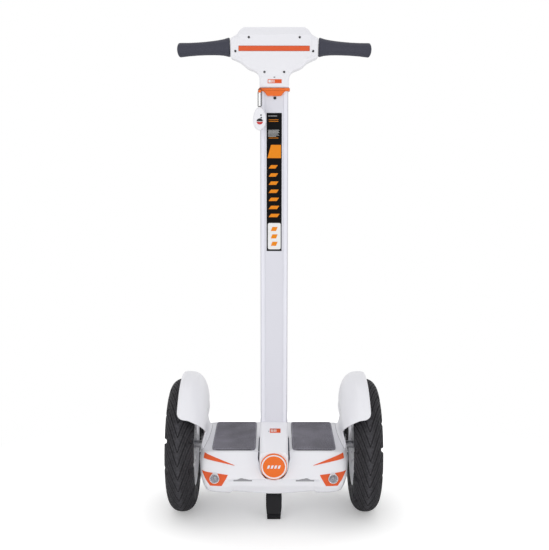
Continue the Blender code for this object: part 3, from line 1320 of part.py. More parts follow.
def head(pivot):
    """The T-shaped head: two shells, its stripe and the rider's display."""
    head_half("head_front_cover", -HEAD_FRONT, -BAR_REACH - SEAT_GAP / 2, pivot)
    rear = head_half("head_rear_cover", -HEAD_BACK, -BAR_REACH + SEAT_GAP / 2, pivot)
    face = -HEAD_FRONT - SEAT_GAP
    high = HEAD_TOP - STRIPE_DROP
    block("head_stripe", (-STRIPE_HALF_LENGTH, face - STRIPE_THICKNESS, high - STRIPE_HEIGHT),
          (STRIPE_HALF_LENGTH, face, high), pivot, "orange plastic", rounding=STRIPE_CORNER, axis=1)
    high = Vector((DISPLAY_HALF_WIDTH, -HEAD_BACK + DISPLAY_PROUD, HEAD_TOP - DISPLAY_DROP))
    low = Vector((-DISPLAY_HALF_WIDTH, -HEAD_BACK - DISPLAY_RECESS, high.z - DISPLAY_HEIGHT))
    combine(rear, block("display_window", low, high + Vector((0, OVERCUT, 0)), pivot))
    gap = Vector((SEAT_GAP, SEAT_GAP, SEAT_GAP))
    block("display_lens", low + gap, high - gap, pivot, "black plastic", rounding=STRIPE_CORNER, axis=1)


def bar_axis(reach, side):
    """A point on the handlebar's middle line at a half width: straight, an arc, then swept back and down."""
    beyond = max(0.0, reach - BAR_STRAIGHT)
    bend = BAR_BEND * sin(BAR_SWEEP)
    if beyond <= bend:
        back = BAR_BEND - (BAR_BEND ** 2 - beyond ** 2) ** 0.5
    else:
        back = BAR_BEND * (1 - cos(BAR_SWEEP)) + (beyond - bend) * tan(BAR_SWEEP)
    return Vector((side * reach, -BAR_REACH + back, BAR_HEIGHT - beyond * tan(BAR_DROOP)))


def bar_rings(stops, side):
    """Rings about the handlebar's line at (half width, radius) stops, each square to the line."""
    rings = []
    step = SEAT_GAP
    for reach, radius in stops:
        here = bar_axis(reach, side)
        along = (bar_axis(reach + step, side) - bar_axis(reach - step, side)).normalized()
        if reach <= BAR_STRAIGHT + step:
            along = Vector((side, 0, 0))
        across = along.cross(Vector((0, 0, 1))).normalized()
        over = across.cross(along)
        angles = [2 * pi * k / BAR_SIDES for k in range(BAR_SIDES)]
        rings.append([here + radius * (across * cos(a) + over * sin(a)) for a in angles])
    return rings


def bar_stops(outer):
    """Half widths along the bar, close together in its bend."""
    bend = BAR_BEND * sin(BAR_SWEEP)
    return [BAR_STRAIGHT + bend * i / 4 for i in range(5)] + [outer]


def handlebar(pivot):
    """The steel bar through the head, swept back at both ends, and its grips."""
    half = bar_stops(GRIP_OUTER - GRIP_END_WALL - SEAT_GAP)
    points = [bar_axis(reach, -1) for reach in half[::-1]] + [bar_axis(reach, 1) for reach in half]
    mesh = mesh_of_curve("handlebar_tube", wire(points, BAR_RADIUS, 4))
    build_object("handlebar_tube", mesh, pivot, "steel")
    for label, side in SIDES:
        grip(label, side, pivot)


def wire(points, radius, sides, cyclic=False):
    """A round wire through points, as a curve."""
    curve = bpy.data.curves.new("wire", "CURVE")
    curve.dimensions = "3D"
    curve.bevel_depth = radius
    curve.bevel_resolution = sides
    curve.use_fill_caps = not cyclic
    spline = curve.splines.new("POLY")
    spline.points.add(len(points) - 1)
    for point, place in zip(spline.points, points):
        point.co = (*place, 1)
    spline.use_cyclic_u = cyclic
    return curve


def grip(label, side, pivot):
    """A rubber sleeve that follows the bar, with a flared inner end and a closed outer end."""
    edge, flare = GRIP_EDGE, GRIP_FLARE_LENGTH
    shape = ((0, GRIP_FLARE), (edge, GRIP_FLARE), (flare, GRIP_RADIUS + GRIP_SWELL),
             (2 * flare, GRIP_RADIUS), (GRIP_LENGTH / 2, GRIP_RADIUS + GRIP_SWELL),
             (GRIP_LENGTH - edge, GRIP_RADIUS), (GRIP_LENGTH, GRIP_RADIUS - edge))
    body = loft(label + "_grip", bar_rings([(GRIP_INNER + x, radius) for x, radius in shape], side), pivot,
                "grip rubber")
    stops = [GRIP_INNER - OVERLAP] + bar_stops(GRIP_OUTER - GRIP_END_WALL)
    bore = loft(label + "_grip_bore", bar_rings([(x, BAR_RADIUS + RUN_GAP) for x in stops], side), pivot)
    combine(body, bore)


# Key fob


def fob_outline():
    """The fob's outline: an egg, wider below its middle."""
    half_width, half_length = FOB_WIDTH / 2, FOB_LENGTH / 2
    middle = FOB_TOP - half_length
    points = []
    for i in range(22):
        angle = 2 * pi * i / 22
        narrow = 1 - FOB_TAPER * sin(angle)
        points.append((-PEG_OFFSET + half_width * cos(angle) * narrow, middle + half_length * sin(angle)))
    return points


def fob(pivot):
    """The key fob that hangs from the collar's peg: shell, loop and two buttons."""
    shell = plate("fob_shell", [fob_outline()], -FOB_FRONT, FOB_THICKNESS - FOB_FRONT, "Y", pivot,
                  "white plastic")
    bevel = shell.modifiers.new("Edge", "BEVEL")
    bevel.width = FOB_EDGE
    bevel.segments = 2
    bevel.limit_method = "ANGLE"
    bevel.angle_limit = radians(60)
    wide = LOOP_HALF_WIDTH + FOB_SLOT_SIDE_CLEARANCE
    deep = LOOP_WIRE + FOB_SLOT_CLEARANCE
    slot = block("fob_slot", (-PEG_OFFSET - wide, -FOB_MIDDLE - deep, FOB_TOP - FOB_SLOT_DEPTH),
                 (-PEG_OFFSET + wide, -FOB_MIDDLE + deep, FOB_TOP + OVERCUT), pivot)
    combine(shell, slot)
    pin_height = LOOP_LOW + 2 * LOOP_WIRE + SEAT_GAP + FOB_PIN_RADIUS
    reach = FOB_THICKNESS / 2 - FOB_EDGE
    pin = rod("fob_pin", FOB_PIN_RADIUS, -reach, reach, (-PEG_OFFSET, -FOB_MIDDLE, pin_height), TO_FRONT,
              pivot, steps=12)
    combine(shell, pin, "UNION")
    fob_loop(pivot)
    fob_buttons(pivot, shell)


def fob_loop(pivot):
    """The fob's hanging loop: a long ring of wire over the peg and round the fob's pin."""
    radius = LOOP_HALF_WIDTH - LOOP_WIRE
    high = LOOP_LOW + LOOP_LENGTH
    line = arc((-PEG_OFFSET, high - LOOP_HALF_WIDTH), radius, 0, pi, 6)
    line += arc((-PEG_OFFSET, LOOP_LOW + LOOP_HALF_WIDTH), radius, pi, 2 * pi, 6)
    ring = wire([(x, -FOB_MIDDLE, z) for x, z in line], LOOP_WIRE, 2, cyclic=True)
    build_object("fob_chain", mesh_of_curve("fob_chain", ring), pivot, "steel")


def button_outline(upper, inset=0.0):
    """Half an oval: the upper button's arch or the lower button's bowl."""
    half = FOB_BUTTON_HALF_WIDTH - inset
    tall = FOB_BUTTON_HEIGHT - 2 * inset
    sign = 1 if upper else -1
    flat = FOB_TOP - FOB_BUTTON_PLACE + sign * (FOB_BUTTON_SPACE + inset)
    angles = [pi * i / 10 for i in range(11)]
    points = [(-PEG_OFFSET + half * cos(a), flat + sign * tall * sin(a)) for a in angles]
    return points if upper else points[::-1]


def fob_buttons(pivot, shell):
    """The fob's two push buttons, each in its own pocket."""
    floor = FOB_BUTTON_DEPTH - FOB_FRONT
    for color, upper in (("black", True), ("red", False)):
        name = "fob_%s_button" % color
        pocket = plate(name + "_pocket", [button_outline(upper)], -FOB_FRONT - OVERCUT, floor, "Y", pivot)
        combine(shell, pocket)
        back = floor - FOB_BUTTON_TRAVEL - SEAT_GAP
        plate(name, [button_outline(upper, SEAT_GAP)], back - FOB_BUTTON_DEPTH, back, "Y", pivot,
              color + " plastic")


def build():
    """Make the pivots, then every piece on its pivot."""
    clear_scene()
    machine = Pivot("parked_machine", (0, 0, AXLE_HEIGHT), turn=PARK_LEAN)
    body_shells(machine)
    foot_pads(machine)
    fenders(machine)
    trim(machine)
    chassis_frame(machine)
    battery_and_board(machine)
    charge_socket(machine)
    stand_bracket(machine)
    for label, side in SIDES:
        motor(label, side, machine)
        spin = Pivot(label + "_wheel_axis", (side * HALF_TRACK, 0, AXLE_HEIGHT), machine, -PARK_LEAN)
        wheel(label, side, spin)
    cap_axis = Pivot("cap_axis", (0, SOCKET_FACE + SEAT_GAP + CAP_HINGE_RADIUS, CAP_HINGE_HEIGHT), machine)
    charge_cap(cap_axis)
    stand_axis = Pivot("stand_axis", (0, -STAND_HINGE_REACH, STAND_HINGE_HEIGHT), machine)
    stand(stand_axis)
    lean_axis = Pivot("lean_axis", (0, 0, PIVOT_HEIGHT), machine)
    steering_shaft_and_hub(lean_axis)
    neck_cover(lean_axis)
    badge(lean_axis)
    column(lean_axis)
    head(lean_axis)
    handlebar(lean_axis)
    fob_axis = Pivot("fob_axis", (-PEG_OFFSET, -FOB_MIDDLE, PEG_HEIGHT), lean_axis, -PARK_LEAN)
    fob(fob_axis)


build()
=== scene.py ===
"""A parked balancing scooter: its visible pieces, finishes and stage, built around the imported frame."""
from math import cos, pi, radians, sin, tan

import bmesh
import bpy
import numpy as np
from bpy.props import FloatProperty, FloatVectorProperty, IntProperty, PointerProperty
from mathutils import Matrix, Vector


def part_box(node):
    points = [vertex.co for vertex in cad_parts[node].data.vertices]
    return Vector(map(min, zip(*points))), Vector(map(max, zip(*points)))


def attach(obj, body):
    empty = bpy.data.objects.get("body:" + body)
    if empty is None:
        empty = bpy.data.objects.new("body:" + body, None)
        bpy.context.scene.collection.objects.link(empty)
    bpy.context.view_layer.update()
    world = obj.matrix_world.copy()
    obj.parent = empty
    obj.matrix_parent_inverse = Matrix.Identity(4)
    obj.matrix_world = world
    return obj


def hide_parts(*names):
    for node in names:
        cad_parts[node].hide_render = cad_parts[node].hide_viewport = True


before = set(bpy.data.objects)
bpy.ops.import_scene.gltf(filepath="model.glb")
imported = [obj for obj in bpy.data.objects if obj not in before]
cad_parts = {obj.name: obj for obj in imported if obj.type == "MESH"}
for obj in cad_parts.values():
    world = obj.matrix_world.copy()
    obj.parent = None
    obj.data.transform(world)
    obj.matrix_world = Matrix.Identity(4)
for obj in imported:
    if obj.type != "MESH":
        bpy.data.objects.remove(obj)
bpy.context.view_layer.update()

bl_info = {
    "name": "Balancing Scooter",
    "version": (1, 0, 0),
    "blender": (4, 5, 0),
    "location": "View3D > Sidebar > Scooter",
    "description": "Builds the visible pieces of a two-wheeled balancing scooter around its frame",
    "category": "Object",
}

TYRE_BOX = [np.array(corner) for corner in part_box("left_tyre")]
AXLE = (TYRE_BOX[0][2] + TYRE_BOX[1][2]) / 2
TYRE_RADIUS = (TYRE_BOX[1][2] - TYRE_BOX[0][2]) / 2
TYRE_OUT, TYRE_SLIM = 0.0043, 0.0024  # how far the visible tyre stands out from the solid, and is slimmer
TRACK = (TYRE_BOX[0][0] + TYRE_BOX[1][0]) / 2 + TYRE_OUT
TYRE_HALF = (TYRE_BOX[1][0] - TYRE_BOX[0][0]) / 2 - TYRE_SLIM
LEAN = radians(4.0)
SIDES = (("right", -1), ("left", 1))

# Places in the upright machine's frame, in metres: X across, Y to the rear and Z up. HALF is half a width,
# and FRONT, BACK and REACH are distances from the axle's plane.
DECK, WAIST, LIP, CHIN, CHIN_RISE = 0.200, 0.178, 0.141, 0.0985, 0.018
DECK_HALF, BODY_HALF, LIP_HALF, CHIN_HALF = 0.187, 0.1935, 0.1892, 0.1820
DECK_REACH, WAIST_REACH, LIP_REACH, CHIN_REACH = 0.118, 0.136, 0.158, 0.147
SEAM = 0.090
PIVOT = 0.1745
POD_EDGE, POD_LIFT, MIDDLE_DROP, STEP_BACK, SLOT_DEPTH = (0.106, 0.122), 0.0033, 0.0025, 0.0055, 0.006
SHELL_WALL, TRIM_WALL = 0.0028, 0.0016
NECK_HALF, NECK_FRONT, NECK_BACK, NECK_LOW, NECK_TOP = 0.0367, 0.1495, 0.056, 0.2112, 0.258
NECK_BORE = NECK_HALF + 0.0013
COLUMN_HALF, COLUMN_FRONT, COLUMN_BACK = 0.0350, 0.052, 0.012
COLUMN_LOW, COLUMN_TOP, COLLAR_HIGH, COLLAR_WALL, COLLAR_GAP = 0.2495, 1.131, 1.122, 0.0041, 0.0004
HEAD_FRONT, HEAD_BACK = 0.062, 0.002
BAR_HEIGHT, BAR_REACH, BAR_SWEEP, BAR_DROOP = 1.2222, 0.032, radians(16.0), radians(1.8)
BAR_STRAIGHT, BAR_BEND, GRIP_INNER, GRIP_LENGTH = 0.110, 0.130, 0.1105, 0.130
FENDER_ARC = radians(56.0)
LAMP_X, LAMP_Z, LAMP_RADIUS, LAMP_LAP = 0.1512, 0.1428, 0.0129, 0.0012
POWER, SLOT_HALF = 14, 0.0402
PEG_X, PEG_Z, FOB_Y = -0.0358, 1.1135, -0.0624


# Shapes


def leaned(points):
    """Machine places turned by the parked lean about the axle."""
    x, y, z = np.moveaxis(np.asarray(points, float), -1, 0)
    up = z - AXLE
    return np.stack([x, y * cos(LEAN) - up * sin(LEAN), AXLE + y * sin(LEAN) + up * cos(LEAN)], -1)


def places(x, y, z):
    """Three numbers or arrays whose shapes fit one another, as an array of places."""
    return np.stack(np.broadcast_arrays(*(np.asarray(v, float) for v in (x, y, z))), -1)


def step(value, low, high):
    """0 below low, 1 above high, and a smooth rise of three t squared less two t cubed between."""
    t = np.clip((value - low) / (high - low), 0, 1)
    return t * t * (3 - 2 * t)


def curve(points, count):
    """A smooth line through points: each span is a cubic whose slopes halve the step between neighbours."""
    p = np.asarray(points, float)
    p = np.concatenate([2 * p[:1] - p[1:2], p, 2 * p[-1:] - p[-2:-1]])
    spans = len(p) - 3
    u = np.linspace(0, spans, count)
    i = np.minimum(u.astype(int), spans - 1)
    t = (u - i).reshape(-1, *[1] * (p.ndim - 1))
    a, b, c, d = p[i], p[i + 1], p[i + 2], p[i + 3]
    square, cube = 2 * a - 5 * b + 4 * c - d, 3 * b - a - 3 * c + d
    return 0.5 * (2 * b + (c - a) * t + square * t ** 2 + cube * t ** 3)


def rounded(points, radius, steps=5, closed=True):
    """Each corner becomes a parabola that leaves the sides a radius before it, or at their middles."""
    p = np.asarray(points, float)
    r = np.broadcast_to(radius, len(p))[:, None]
    arms = []
    for neighbour in (1, -1):
        arm = np.roll(p, neighbour, 0) - p
        reach = np.minimum(r / np.maximum(np.linalg.norm(arm, axis=1, keepdims=True), 1e-9), 0.5)
        if not closed:
            reach[[0, -1]] = 0
        arms.append((p + arm * reach)[:, None])
    start, end = arms
    t = np.linspace(0, 1, steps)[None, :, None]
    line = ((1 - t) ** 2 * start + 2 * t * (1 - t) * p[:, None] + t ** 2 * end).reshape(-1, p.shape[1])
    keep = np.linalg.norm(np.diff(line, axis=0, prepend=line[:1] + 1), axis=1) > 1e-7
    return line[keep]


def grid(points, around=False, ring=False, ends=False, under=False):
    """A grid of places as corners and faces. around joins its columns, ring joins its rows, ends closes its
    end rows, and under closes the whole border with one face.
    """
    rows, columns = points.shape[:2]
    index = np.arange(rows * columns).reshape(rows, columns)
    index = np.hstack([index, index[:, :1]]) if around else index
    index = np.vstack([index, index[:1]]) if ring else index
    corners = [index[:-1, :-1], index[:-1, 1:], index[1:, 1:], index[1:, :-1]]
    faces = np.stack(corners, -1).reshape(-1, 4).tolist()
    if ends:
        faces += [index[0, :columns][::-1].tolist(), index[-1, :columns].tolist()]
    if under:
        faces.append(border(index).tolist())
    return points.reshape(-1, 3), faces


def border(rows):
    """What lies on a grid's border, once round."""
    return np.concatenate([rows[0], rows[1:, -1], rows[-1, -2::-1], rows[-2:0:-1, 0]])


def turned(profile, place, axis, steps=64, ring=False):
    """A profile of (distance along the axis, radius) carried round the axis through a place."""
    axis = np.asarray(axis, float) / np.linalg.norm(axis)
    first = np.cross(axis, (0, 0, 1) if abs(axis[2]) < 0.9 else (1, 0, 0))
    first /= np.linalg.norm(first)
    second = np.cross(axis, first)
    angle = np.linspace(0, 2 * pi, steps, endpoint=False)[None, :, None]
    along, radius = np.asarray(profile, float).T[:, :, None, None]
    out = np.cos(angle) * first + np.sin(angle) * second
    return grid(np.asarray(place) + along * axis + radius * out, around=True, ring=ring)


def swept(path, section, side, scale):
    """A section carried along a path and scaled: its first axis is square to the path and near the side."""
    along = np.gradient(path, axis=0)
    along /= np.linalg.norm(along, axis=1, keepdims=True)
    up = np.cross(along, side)
    up /= np.linalg.norm(up, axis=1, keepdims=True)
    across = np.cross(up, along)
    wide, high = (section[None, :, k:k + 1] * scale[:, None, k:k + 1] for k in (0, 1))
    return grid(path[:, None] + wide * across[:, None] + high * up[:, None], around=True, ends=True)


def circle(radius, count):
    """Points on a circle."""
    angle = np.linspace(0, 2 * pi, count, endpoint=False)
    return radius * np.stack([np.cos(angle), np.sin(angle)], -1)


def inset(outline, distance):
    """A closed outline moved inwards along its normals, the sides' turned directions."""
    along = np.roll(outline, -1, 0) - np.roll(outline, 1, 0)
    along /= np.maximum(np.linalg.norm(along, axis=1, keepdims=True), 1e-9)
    area = np.sum(outline[:, 0] * np.roll(outline[:, 1], -1) - outline[:, 1] * np.roll(outline[:, 0], -1))
    return outline + distance * np.sign(area) * np.stack([-along[:, 1], along[:, 0]], -1)


def plate(outline, low, high, axis, edge=0.0, steps=4):
    """An outline between two levels of an axis, its high rim rounded by a quarter turn."""
    turn = np.linspace(0, pi / 2, steps) if edge else [pi / 2]
    rows = [(0.0, low)] + [(edge * (1 - cos(t)), high - edge * (1 - sin(t))) for t in turn]
    return lofted([(inset(outline, shrink), level) for shrink, level in rows], axis)


def front_plate(outline, front, thickness, edge=0.0):
    """A plate that faces forwards, from an outline of (x, z)."""
    points, faces = plate(np.array(outline, float), 0, thickness, "Y", edge)
    return points * (1, -1, 1) + (0, front + thickness, 0), faces


def slanted(x, low, high, width, lean):
    """A bar between two heights whose top stands a lean to the side."""
    return [(x, low), (x + width, low), (x + width + lean, high), (x + lean, high)]


def box_outline(low, high, corner, steps=5):
    """A rectangle with round corners."""
    (x0, y0), (x1, y1) = low, high
    return rounded([(x0, y0), (x1, y0), (x1, y1), (x0, y1)], corner, steps)


def lofted(sections, axis, ring=False):
    """Outlines joined one after another, each with its level on an axis."""
    rows = [np.insert(outline, "XYZ".index(axis), level, axis=1) for outline, level in sections]
    return grid(np.array(rows), around=True, ring=ring, ends=not ring)


def sided(shape, side):
    """A shape of the left side, or its mirror image on the right."""
    points, faces = shape
    return points * (side, 1, 1), faces


def make(name, body, finish, shapes, replaces=(), slot=None, wall=0.0, outwards=None, bevel=0.0, lean=True,
         sharp=32.0, values=None):
    """One piece from its shapes: welded, faced outwards, given its wall and edges, and put on its body.

    Its slot, the finish's own unless one is given, is worked out but not put on the piece. A shape that
    isn't closed faces the place outwards.
    """
    shapes = shapes if isinstance(shapes, list) else [shapes]
    starts = np.cumsum([0] + [len(points) for points, faces in shapes])
    points = np.vstack([points for points, faces in shapes])
    faces = [[i + start for i in face] for start, shape in zip(starts, shapes) for face in shape[1]]
    mesh = bpy.data.meshes.new(name)
    mesh.from_pydata((leaned(points) if lean else points).tolist(), [], faces)
    # values become the relief attribute, which the finishes turn into painted shade and painted highlight.
    if values is not None:
        mesh.attributes.new("relief", "FLOAT", "POINT").data.foreach_set("value", values.ravel())
    shell = bmesh.new()
    shell.from_mesh(mesh)
    bmesh.ops.remove_doubles(shell, verts=shell.verts, dist=2e-6)
    bmesh.ops.recalc_face_normals(shell, faces=shell.faces)
    shell.to_mesh(mesh)
    shell.free()
    if outwards is not None:
        face_outwards(mesh, np.array(leaned([outwards])[0] if lean else outwards))
    mesh.shade_smooth()
    mesh.set_sharp_from_angle(angle=radians(sharp))
    mesh.materials.append(FINISH[finish])
    piece = bpy.data.objects.new(name, mesh)
    bpy.context.scene.collection.objects.link(piece)
    if wall:
        modify(piece, "SOLIDIFY", thickness=wall, offset=-1, use_even_offset=False)
    if bevel:
        modify(piece, "BEVEL", width=bevel, segments=2, limit_method="ANGLE", angle_limit=radians(40),
               harden_normals=True)
    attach(piece, body)
    slot = slot or FINISH_SLOTS.get(finish)
    if replaces:
        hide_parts(*replaces)


def face_outwards(mesh, place):
    """Turns a mesh over if the face nearest a place outside it looks away from there."""
    centers = np.empty(len(mesh.polygons) * 3)
    mesh.polygons.foreach_get("center", centers)
    nearest = int(np.argmin(np.linalg.norm(centers.reshape(-1, 3) - place, axis=1)))
    face = mesh.polygons[nearest]
    if np.dot(face.normal, place - np.array(face.center)) < 0:
        mesh.flip_normals()


def modify(piece, kind, **settings):
    """A modifier with its settings."""
    modifier = piece.modifiers.new(kind.title(), kind)
    for key, value in settings.items():
        setattr(modifier, key, value)


# Finishes


class Wiring:
    """A node tree, with short ways to add to it."""

    def __init__(self, tree):
        self.nodes, self.link = tree.nodes, tree.links.new

    def node(self, kind, **settings):
        """A new node with its settings."""
        made = self.nodes.new("ShaderNode" + kind)
        for key, value in settings.items():
            setattr(made, key, value)
        return made

    def spread(self, value, low, high, start=0.3, end=0.7):
        """A value read from start to end, as a number from low to high."""
        made = self.node("MapRange")
        for key, number in (("From Min", start), ("From Max", end), ("To Min", low), ("To Max", high)):
            made.inputs[key].default_value = number
        self.link(value, made.inputs["Value"])
        return made.outputs["Result"]

    def product(self, first, second):
        """Two values multiplied."""
        made = self.node("Math", operation="MULTIPLY")
        self.link(first, made.inputs[0])
        self.link(second, made.inputs[1])
        return made.outputs["Value"]


class Finish(Wiring):
    """A material being made: its shader, and short ways to add nodes that read object coordinates."""

    def __init__(self, name, colour, roughness, **values):
        self.material = bpy.data.materials.new(name)
        self.material.use_nodes = True
        super().__init__(self.material.node_tree)
        self.shader = self.nodes["Principled BSDF"]
        self.shader.inputs["Base Color"].default_value = (*colour, 1)
        self.shader.inputs["Roughness"].default_value = roughness
        for key, value in values.items():
            self.shader.inputs[key.replace("_", " ").title().replace("Ior", "IOR")].default_value = value

    def noise(self, scale, detail=3.0, stretch=(1, 1, 1)):
        """Smooth random patches about 1/scale metres wide, stretched along the axes."""
        mapping, made = self.node("Mapping"), self.node("TexNoise")
        mapping.inputs["Scale"].default_value = stretch
        made.inputs["Scale"].default_value = scale
        made.inputs["Detail"].default_value = detail
        self.link(self.node("TexCoord").outputs["Object"], mapping.inputs["Vector"])
        self.link(mapping.outputs["Vector"], made.inputs["Vector"])
        return made.outputs["Fac"]

    def tint(self, factor, first, second):
        """Goes from one colour to another as the factor rises, into the base colour."""
        made = self.node("Mix", data_type="RGBA")
        made.inputs["A"].default_value = (*first, 1)
        made.inputs["B"].default_value = (*second, 1)
        self.link(factor, made.inputs["Factor"])
        self.link(made.outputs["Result"], self.shader.inputs["Base Color"])

    def gloss(self, factor, low, high):
        """Roughness from low to high as the factor rises."""
        self.link(self.spread(factor, low, high), self.shader.inputs["Roughness"])

    def relief(self, height, distance):
        """A bump of a height in metres."""
        bump = self.node("Bump")
        bump.inputs["Strength"].default_value = 1.0
        bump.inputs["Distance"].default_value = distance
        self.link(height, bump.inputs["Height"])
        self.link(bump.outputs["Normal"], self.shader.inputs["Normal"])


def shade(colour, factor):
    """A colour made darker or lighter."""
    return tuple(min(1.0, channel * factor) for channel in colour)


def moulded(name, colour, roughness=0.3, grain=0.00002, grain_scale=1400.0, wear=0.94, **values):
    """Moulded plastic: patchy gloss, a slight change of tone, and a fine grain."""
    made = Finish(name, colour, roughness, **values)
    made.tint(made.noise(9.0), shade(colour, wear), colour)
    made.gloss(made.noise(60.0, 3.0), roughness * 0.94, roughness * 1.08)
    made.relief(made.noise(grain_scale, 2.0), grain)
    return made.material


def brushed(name, colour, roughness, stretch, **values):
    """Metal with fine drawn lines: noise stretched along one axis, in tone, gloss and bump."""
    made = Finish(name, colour, roughness, **values)
    lines = made.noise(900.0, 2.0, stretch)
    made.tint(lines, shade(colour, 0.94), shade(colour, 1.03))
    made.gloss(lines, roughness * 0.8, roughness * 1.3)
    made.relief(lines, 0.00001)
    return made.material


def white_shell(colour):
    """Glossy white body plastic."""
    return moulded("white_shell", colour, 0.36, 0.000008, wear=0.992, coat_weight=0.2, coat_roughness=0.2)


def column_paint_painted_light(colour):
    """Satin paint on the drawn column: an attribute paints shade on its outer edges and a highlight on its
    rails, with fine lines in gloss and bump.
    """
    made = Finish("column_paint_painted_light", colour, 0.42, metallic=0.1)
    tone = made.node("Attribute", attribute_name="relief").outputs["Fac"]
    lines = made.noise(900.0, 2.0, (1, 1, 0.02))
    # Painted shade and highlight: the tone runs from 0.6 times the colour on the edges to 1.2 times on the
    # rails.
    made.tint(tone, shade(colour, 0.60), shade(colour, 1.2))
    made.gloss(lines, 0.36, 0.5)
    made.relief(lines, 0.00001)
    return made.material


def rubber_dust_and_painted_shade(name, colour, low, high, dust_scale):
    """Rubber, dusty on its lands, with painted shade that darkens its grooves, and a pebbled skin."""
    made = Finish(name, colour, 0.7, specular_ior_level=0.2)
    land = made.node("Attribute", attribute_name="relief").outputs["Fac"]
    # The attribute is 0 in the grooves, so the tint paints shade there; on the lands noise adds dust.
    dust_and_groove_shade = made.product(land, made.spread(made.noise(dust_scale, 6.0), 0.4, 1.0))
    made.tint(dust_and_groove_shade, shade(colour, low), shade(colour, high))
    made.gloss(made.noise(200.0, 4.0), 0.55, 0.8)
    made.relief(made.noise(1500.0, 3.0), 0.0001)
    return made.material


def finishes(colours):
    """Every material, by name."""
    orange, dark, rubber = colours.accent, colours.trim, colours.tyre
    return {
        "white": white_shell(colours.shell),
        "column": column_paint_painted_light(colours.column),
        "orange": moulded("orange_plastic", orange, 0.35, wear=0.93, specular_ior_level=0.25),
        "badge": moulded("badge_enamel", colours.badge, 0.25, wear=0.95, specular_ior_level=0.3),
        "tyre": rubber_dust_and_painted_shade("tyre_rubber", rubber, 0.2, 1.75, 160.0),
        "pad": rubber_dust_and_painted_shade("pad_rubber", colours.pad, 0.40, 2.0, 12.0),
        "grip": moulded("grip_rubber", colours.grip, 0.58, 0.00008, 1800.0, 0.85, specular_ior_level=0.3),
        "black": moulded("black_plastic", dark, 0.42, 0.00006, 1500.0, 0.7, specular_ior_level=0.2),
        "alloy": brushed("cast_alloy", (0.86, 0.86, 0.88), 0.4, (1, 1, 1), metallic=0.1),
        "steel": brushed("bright_steel", (0.55, 0.55, 0.57), 0.3, (0.05, 1, 1), metallic=1.0),
        "chrome": brushed("chrome", (0.8, 0.8, 0.82), 0.08, (1, 1, 1), metallic=1.0),
        "red": moulded("red_plastic", (0.55, 0.02, 0.02), 0.2, coat_weight=0.5),
        "lens": moulded("clear_lens", (0.95, 0.96, 0.97), 0.03, 0.00001, 300.0, 0.99,
                        transmission_weight=1.0, ior=1.49),
        "board": moulded("circuit_board", (0.02, 0.12, 0.05), 0.4, 0.0002, 300.0, 0.6),
        "battery": moulded("battery_wrap", (0.03, 0.08, 0.25), 0.35, 0.0003, 60.0, 0.8),
        "slot": moulded("slot_shadow", (0.34, 0.34, 0.36), 0.6, 0.0001, 900.0, 0.8),
        "orange_dark": moulded("orange_border", shade(orange, 0.6), 0.35, wear=0.9),
        "reflector": brushed("reflector", (0.66, 0.66, 0.72), 0.22, (1, 1, 1), metallic=0.5),
        "chain": brushed("dark_chain", (0.030, 0.028, 0.026), 0.5, (1, 1, 1), metallic=0.0),
        "ink": moulded("black_ink", (0.006, 0.006, 0.0065), 0.35, 0.00001, 900.0, 0.8,
                       specular_ior_level=0.06),
        "white_ink": moulded("white_ink", (0.8, 0.8, 0.8), 0.4, 0.00001, 900.0),
        "orange_ink": moulded("orange_ink", orange, 0.35, 0.00001, 900.0, specular_ior_level=0.1),
        "amber_ink": moulded("amber_ink", (0.80, 0.25, 0.013), 0.35, 0.00001, 900.0, specular_ior_level=0.1),
    }


FINISH = {}
FINISH_SLOTS = {
    "white": "white_plastic", "black": "black_plastic", "slot": "black_plastic", "red": "red_plastic",
    "orange": "orange_plastic", "orange_dark": "orange_plastic", "badge": "badge_orange",
    "alloy": "wheel_alloy", "steel": "steel", "chain": "steel", "column": "silver_alloy",
    "tyre": "tyre_rubber", "pad": "pad_rubber", "grip": "grip_rubber",
    "chrome": "clear_lens", "lens": "clear_lens", "reflector": "clear_lens",
}
NODE_FINISH = {
    "black": ("charge_port_cap", "charge_socket", "column_screw", "display_lens", "fob_black_button",
              "kickstand_foot", "kickstand_leg", "motor_stator"),
    "steel": ("front_steering_bearing", "rear_steering_bearing", "handlebar_tube", "kickstand_bracket",
              "kickstand_pin", "axle", "steering_hub", "steering_shaft"),
    "chrome": ("fob_chain",),
    "alloy": ("chassis_frame", "hub_shell", "rim"),
    "white": ("deck_cover", "lower_casing", "rear_fascia", "front_fascia", "neck_cover", "head_front_cover",
              "head_rear_cover", "fob_shell", "hub_cap", "badge_ring", "fender"),
    "column": ("column_tube",),
    "ink": ("column_label_strip",),
    "badge": ("badge_disc", "column_collar"),
    "orange": ("head_stripe", "accent_stripe", "lamp_bezel"),
    "red": ("fob_red_button", "tail_lamp"),
    "lens": ("headlamp",),
    "tyre": ("tyre",),
    "grip": ("grip",),
    "pad": ("foot_pad",),
    "battery": ("battery_pack",),
    "board": ("control_board",),
}


# Settings


def length_setting(name, text, value):
    """A length in metres that a user may change."""
    return FloatProperty(name=name, description=text, unit="LENGTH", default=value)


def colour_setting(name, text, value):
    """A colour that a user may change."""
    return FloatVectorProperty(name=name, description=text, subtype="COLOR", size=3, min=0, max=1,
                               default=value)


class ScooterSizes(bpy.types.PropertyGroup):
    """Sizes that a user would change."""

    tread_depth: length_setting("Tread depth", "Depth of the tyre's grooves", 0.0022)
    tread_blocks: IntProperty(name="Tread blocks", description="Chevrons around a tyre", default=30)
    notches: IntProperty(name="Shoulder notches", description="Notches around each shoulder", default=13)
    notch_depth: length_setting("Notch depth", "Depth of a shoulder notch", 0.0068)
    rib_pitch: length_setting("Rib pitch", "Distance between the foot pad's ribs", 0.0066)
    rib_height: length_setting("Rib height", "Height of the foot pad's ribs", 0.0007)


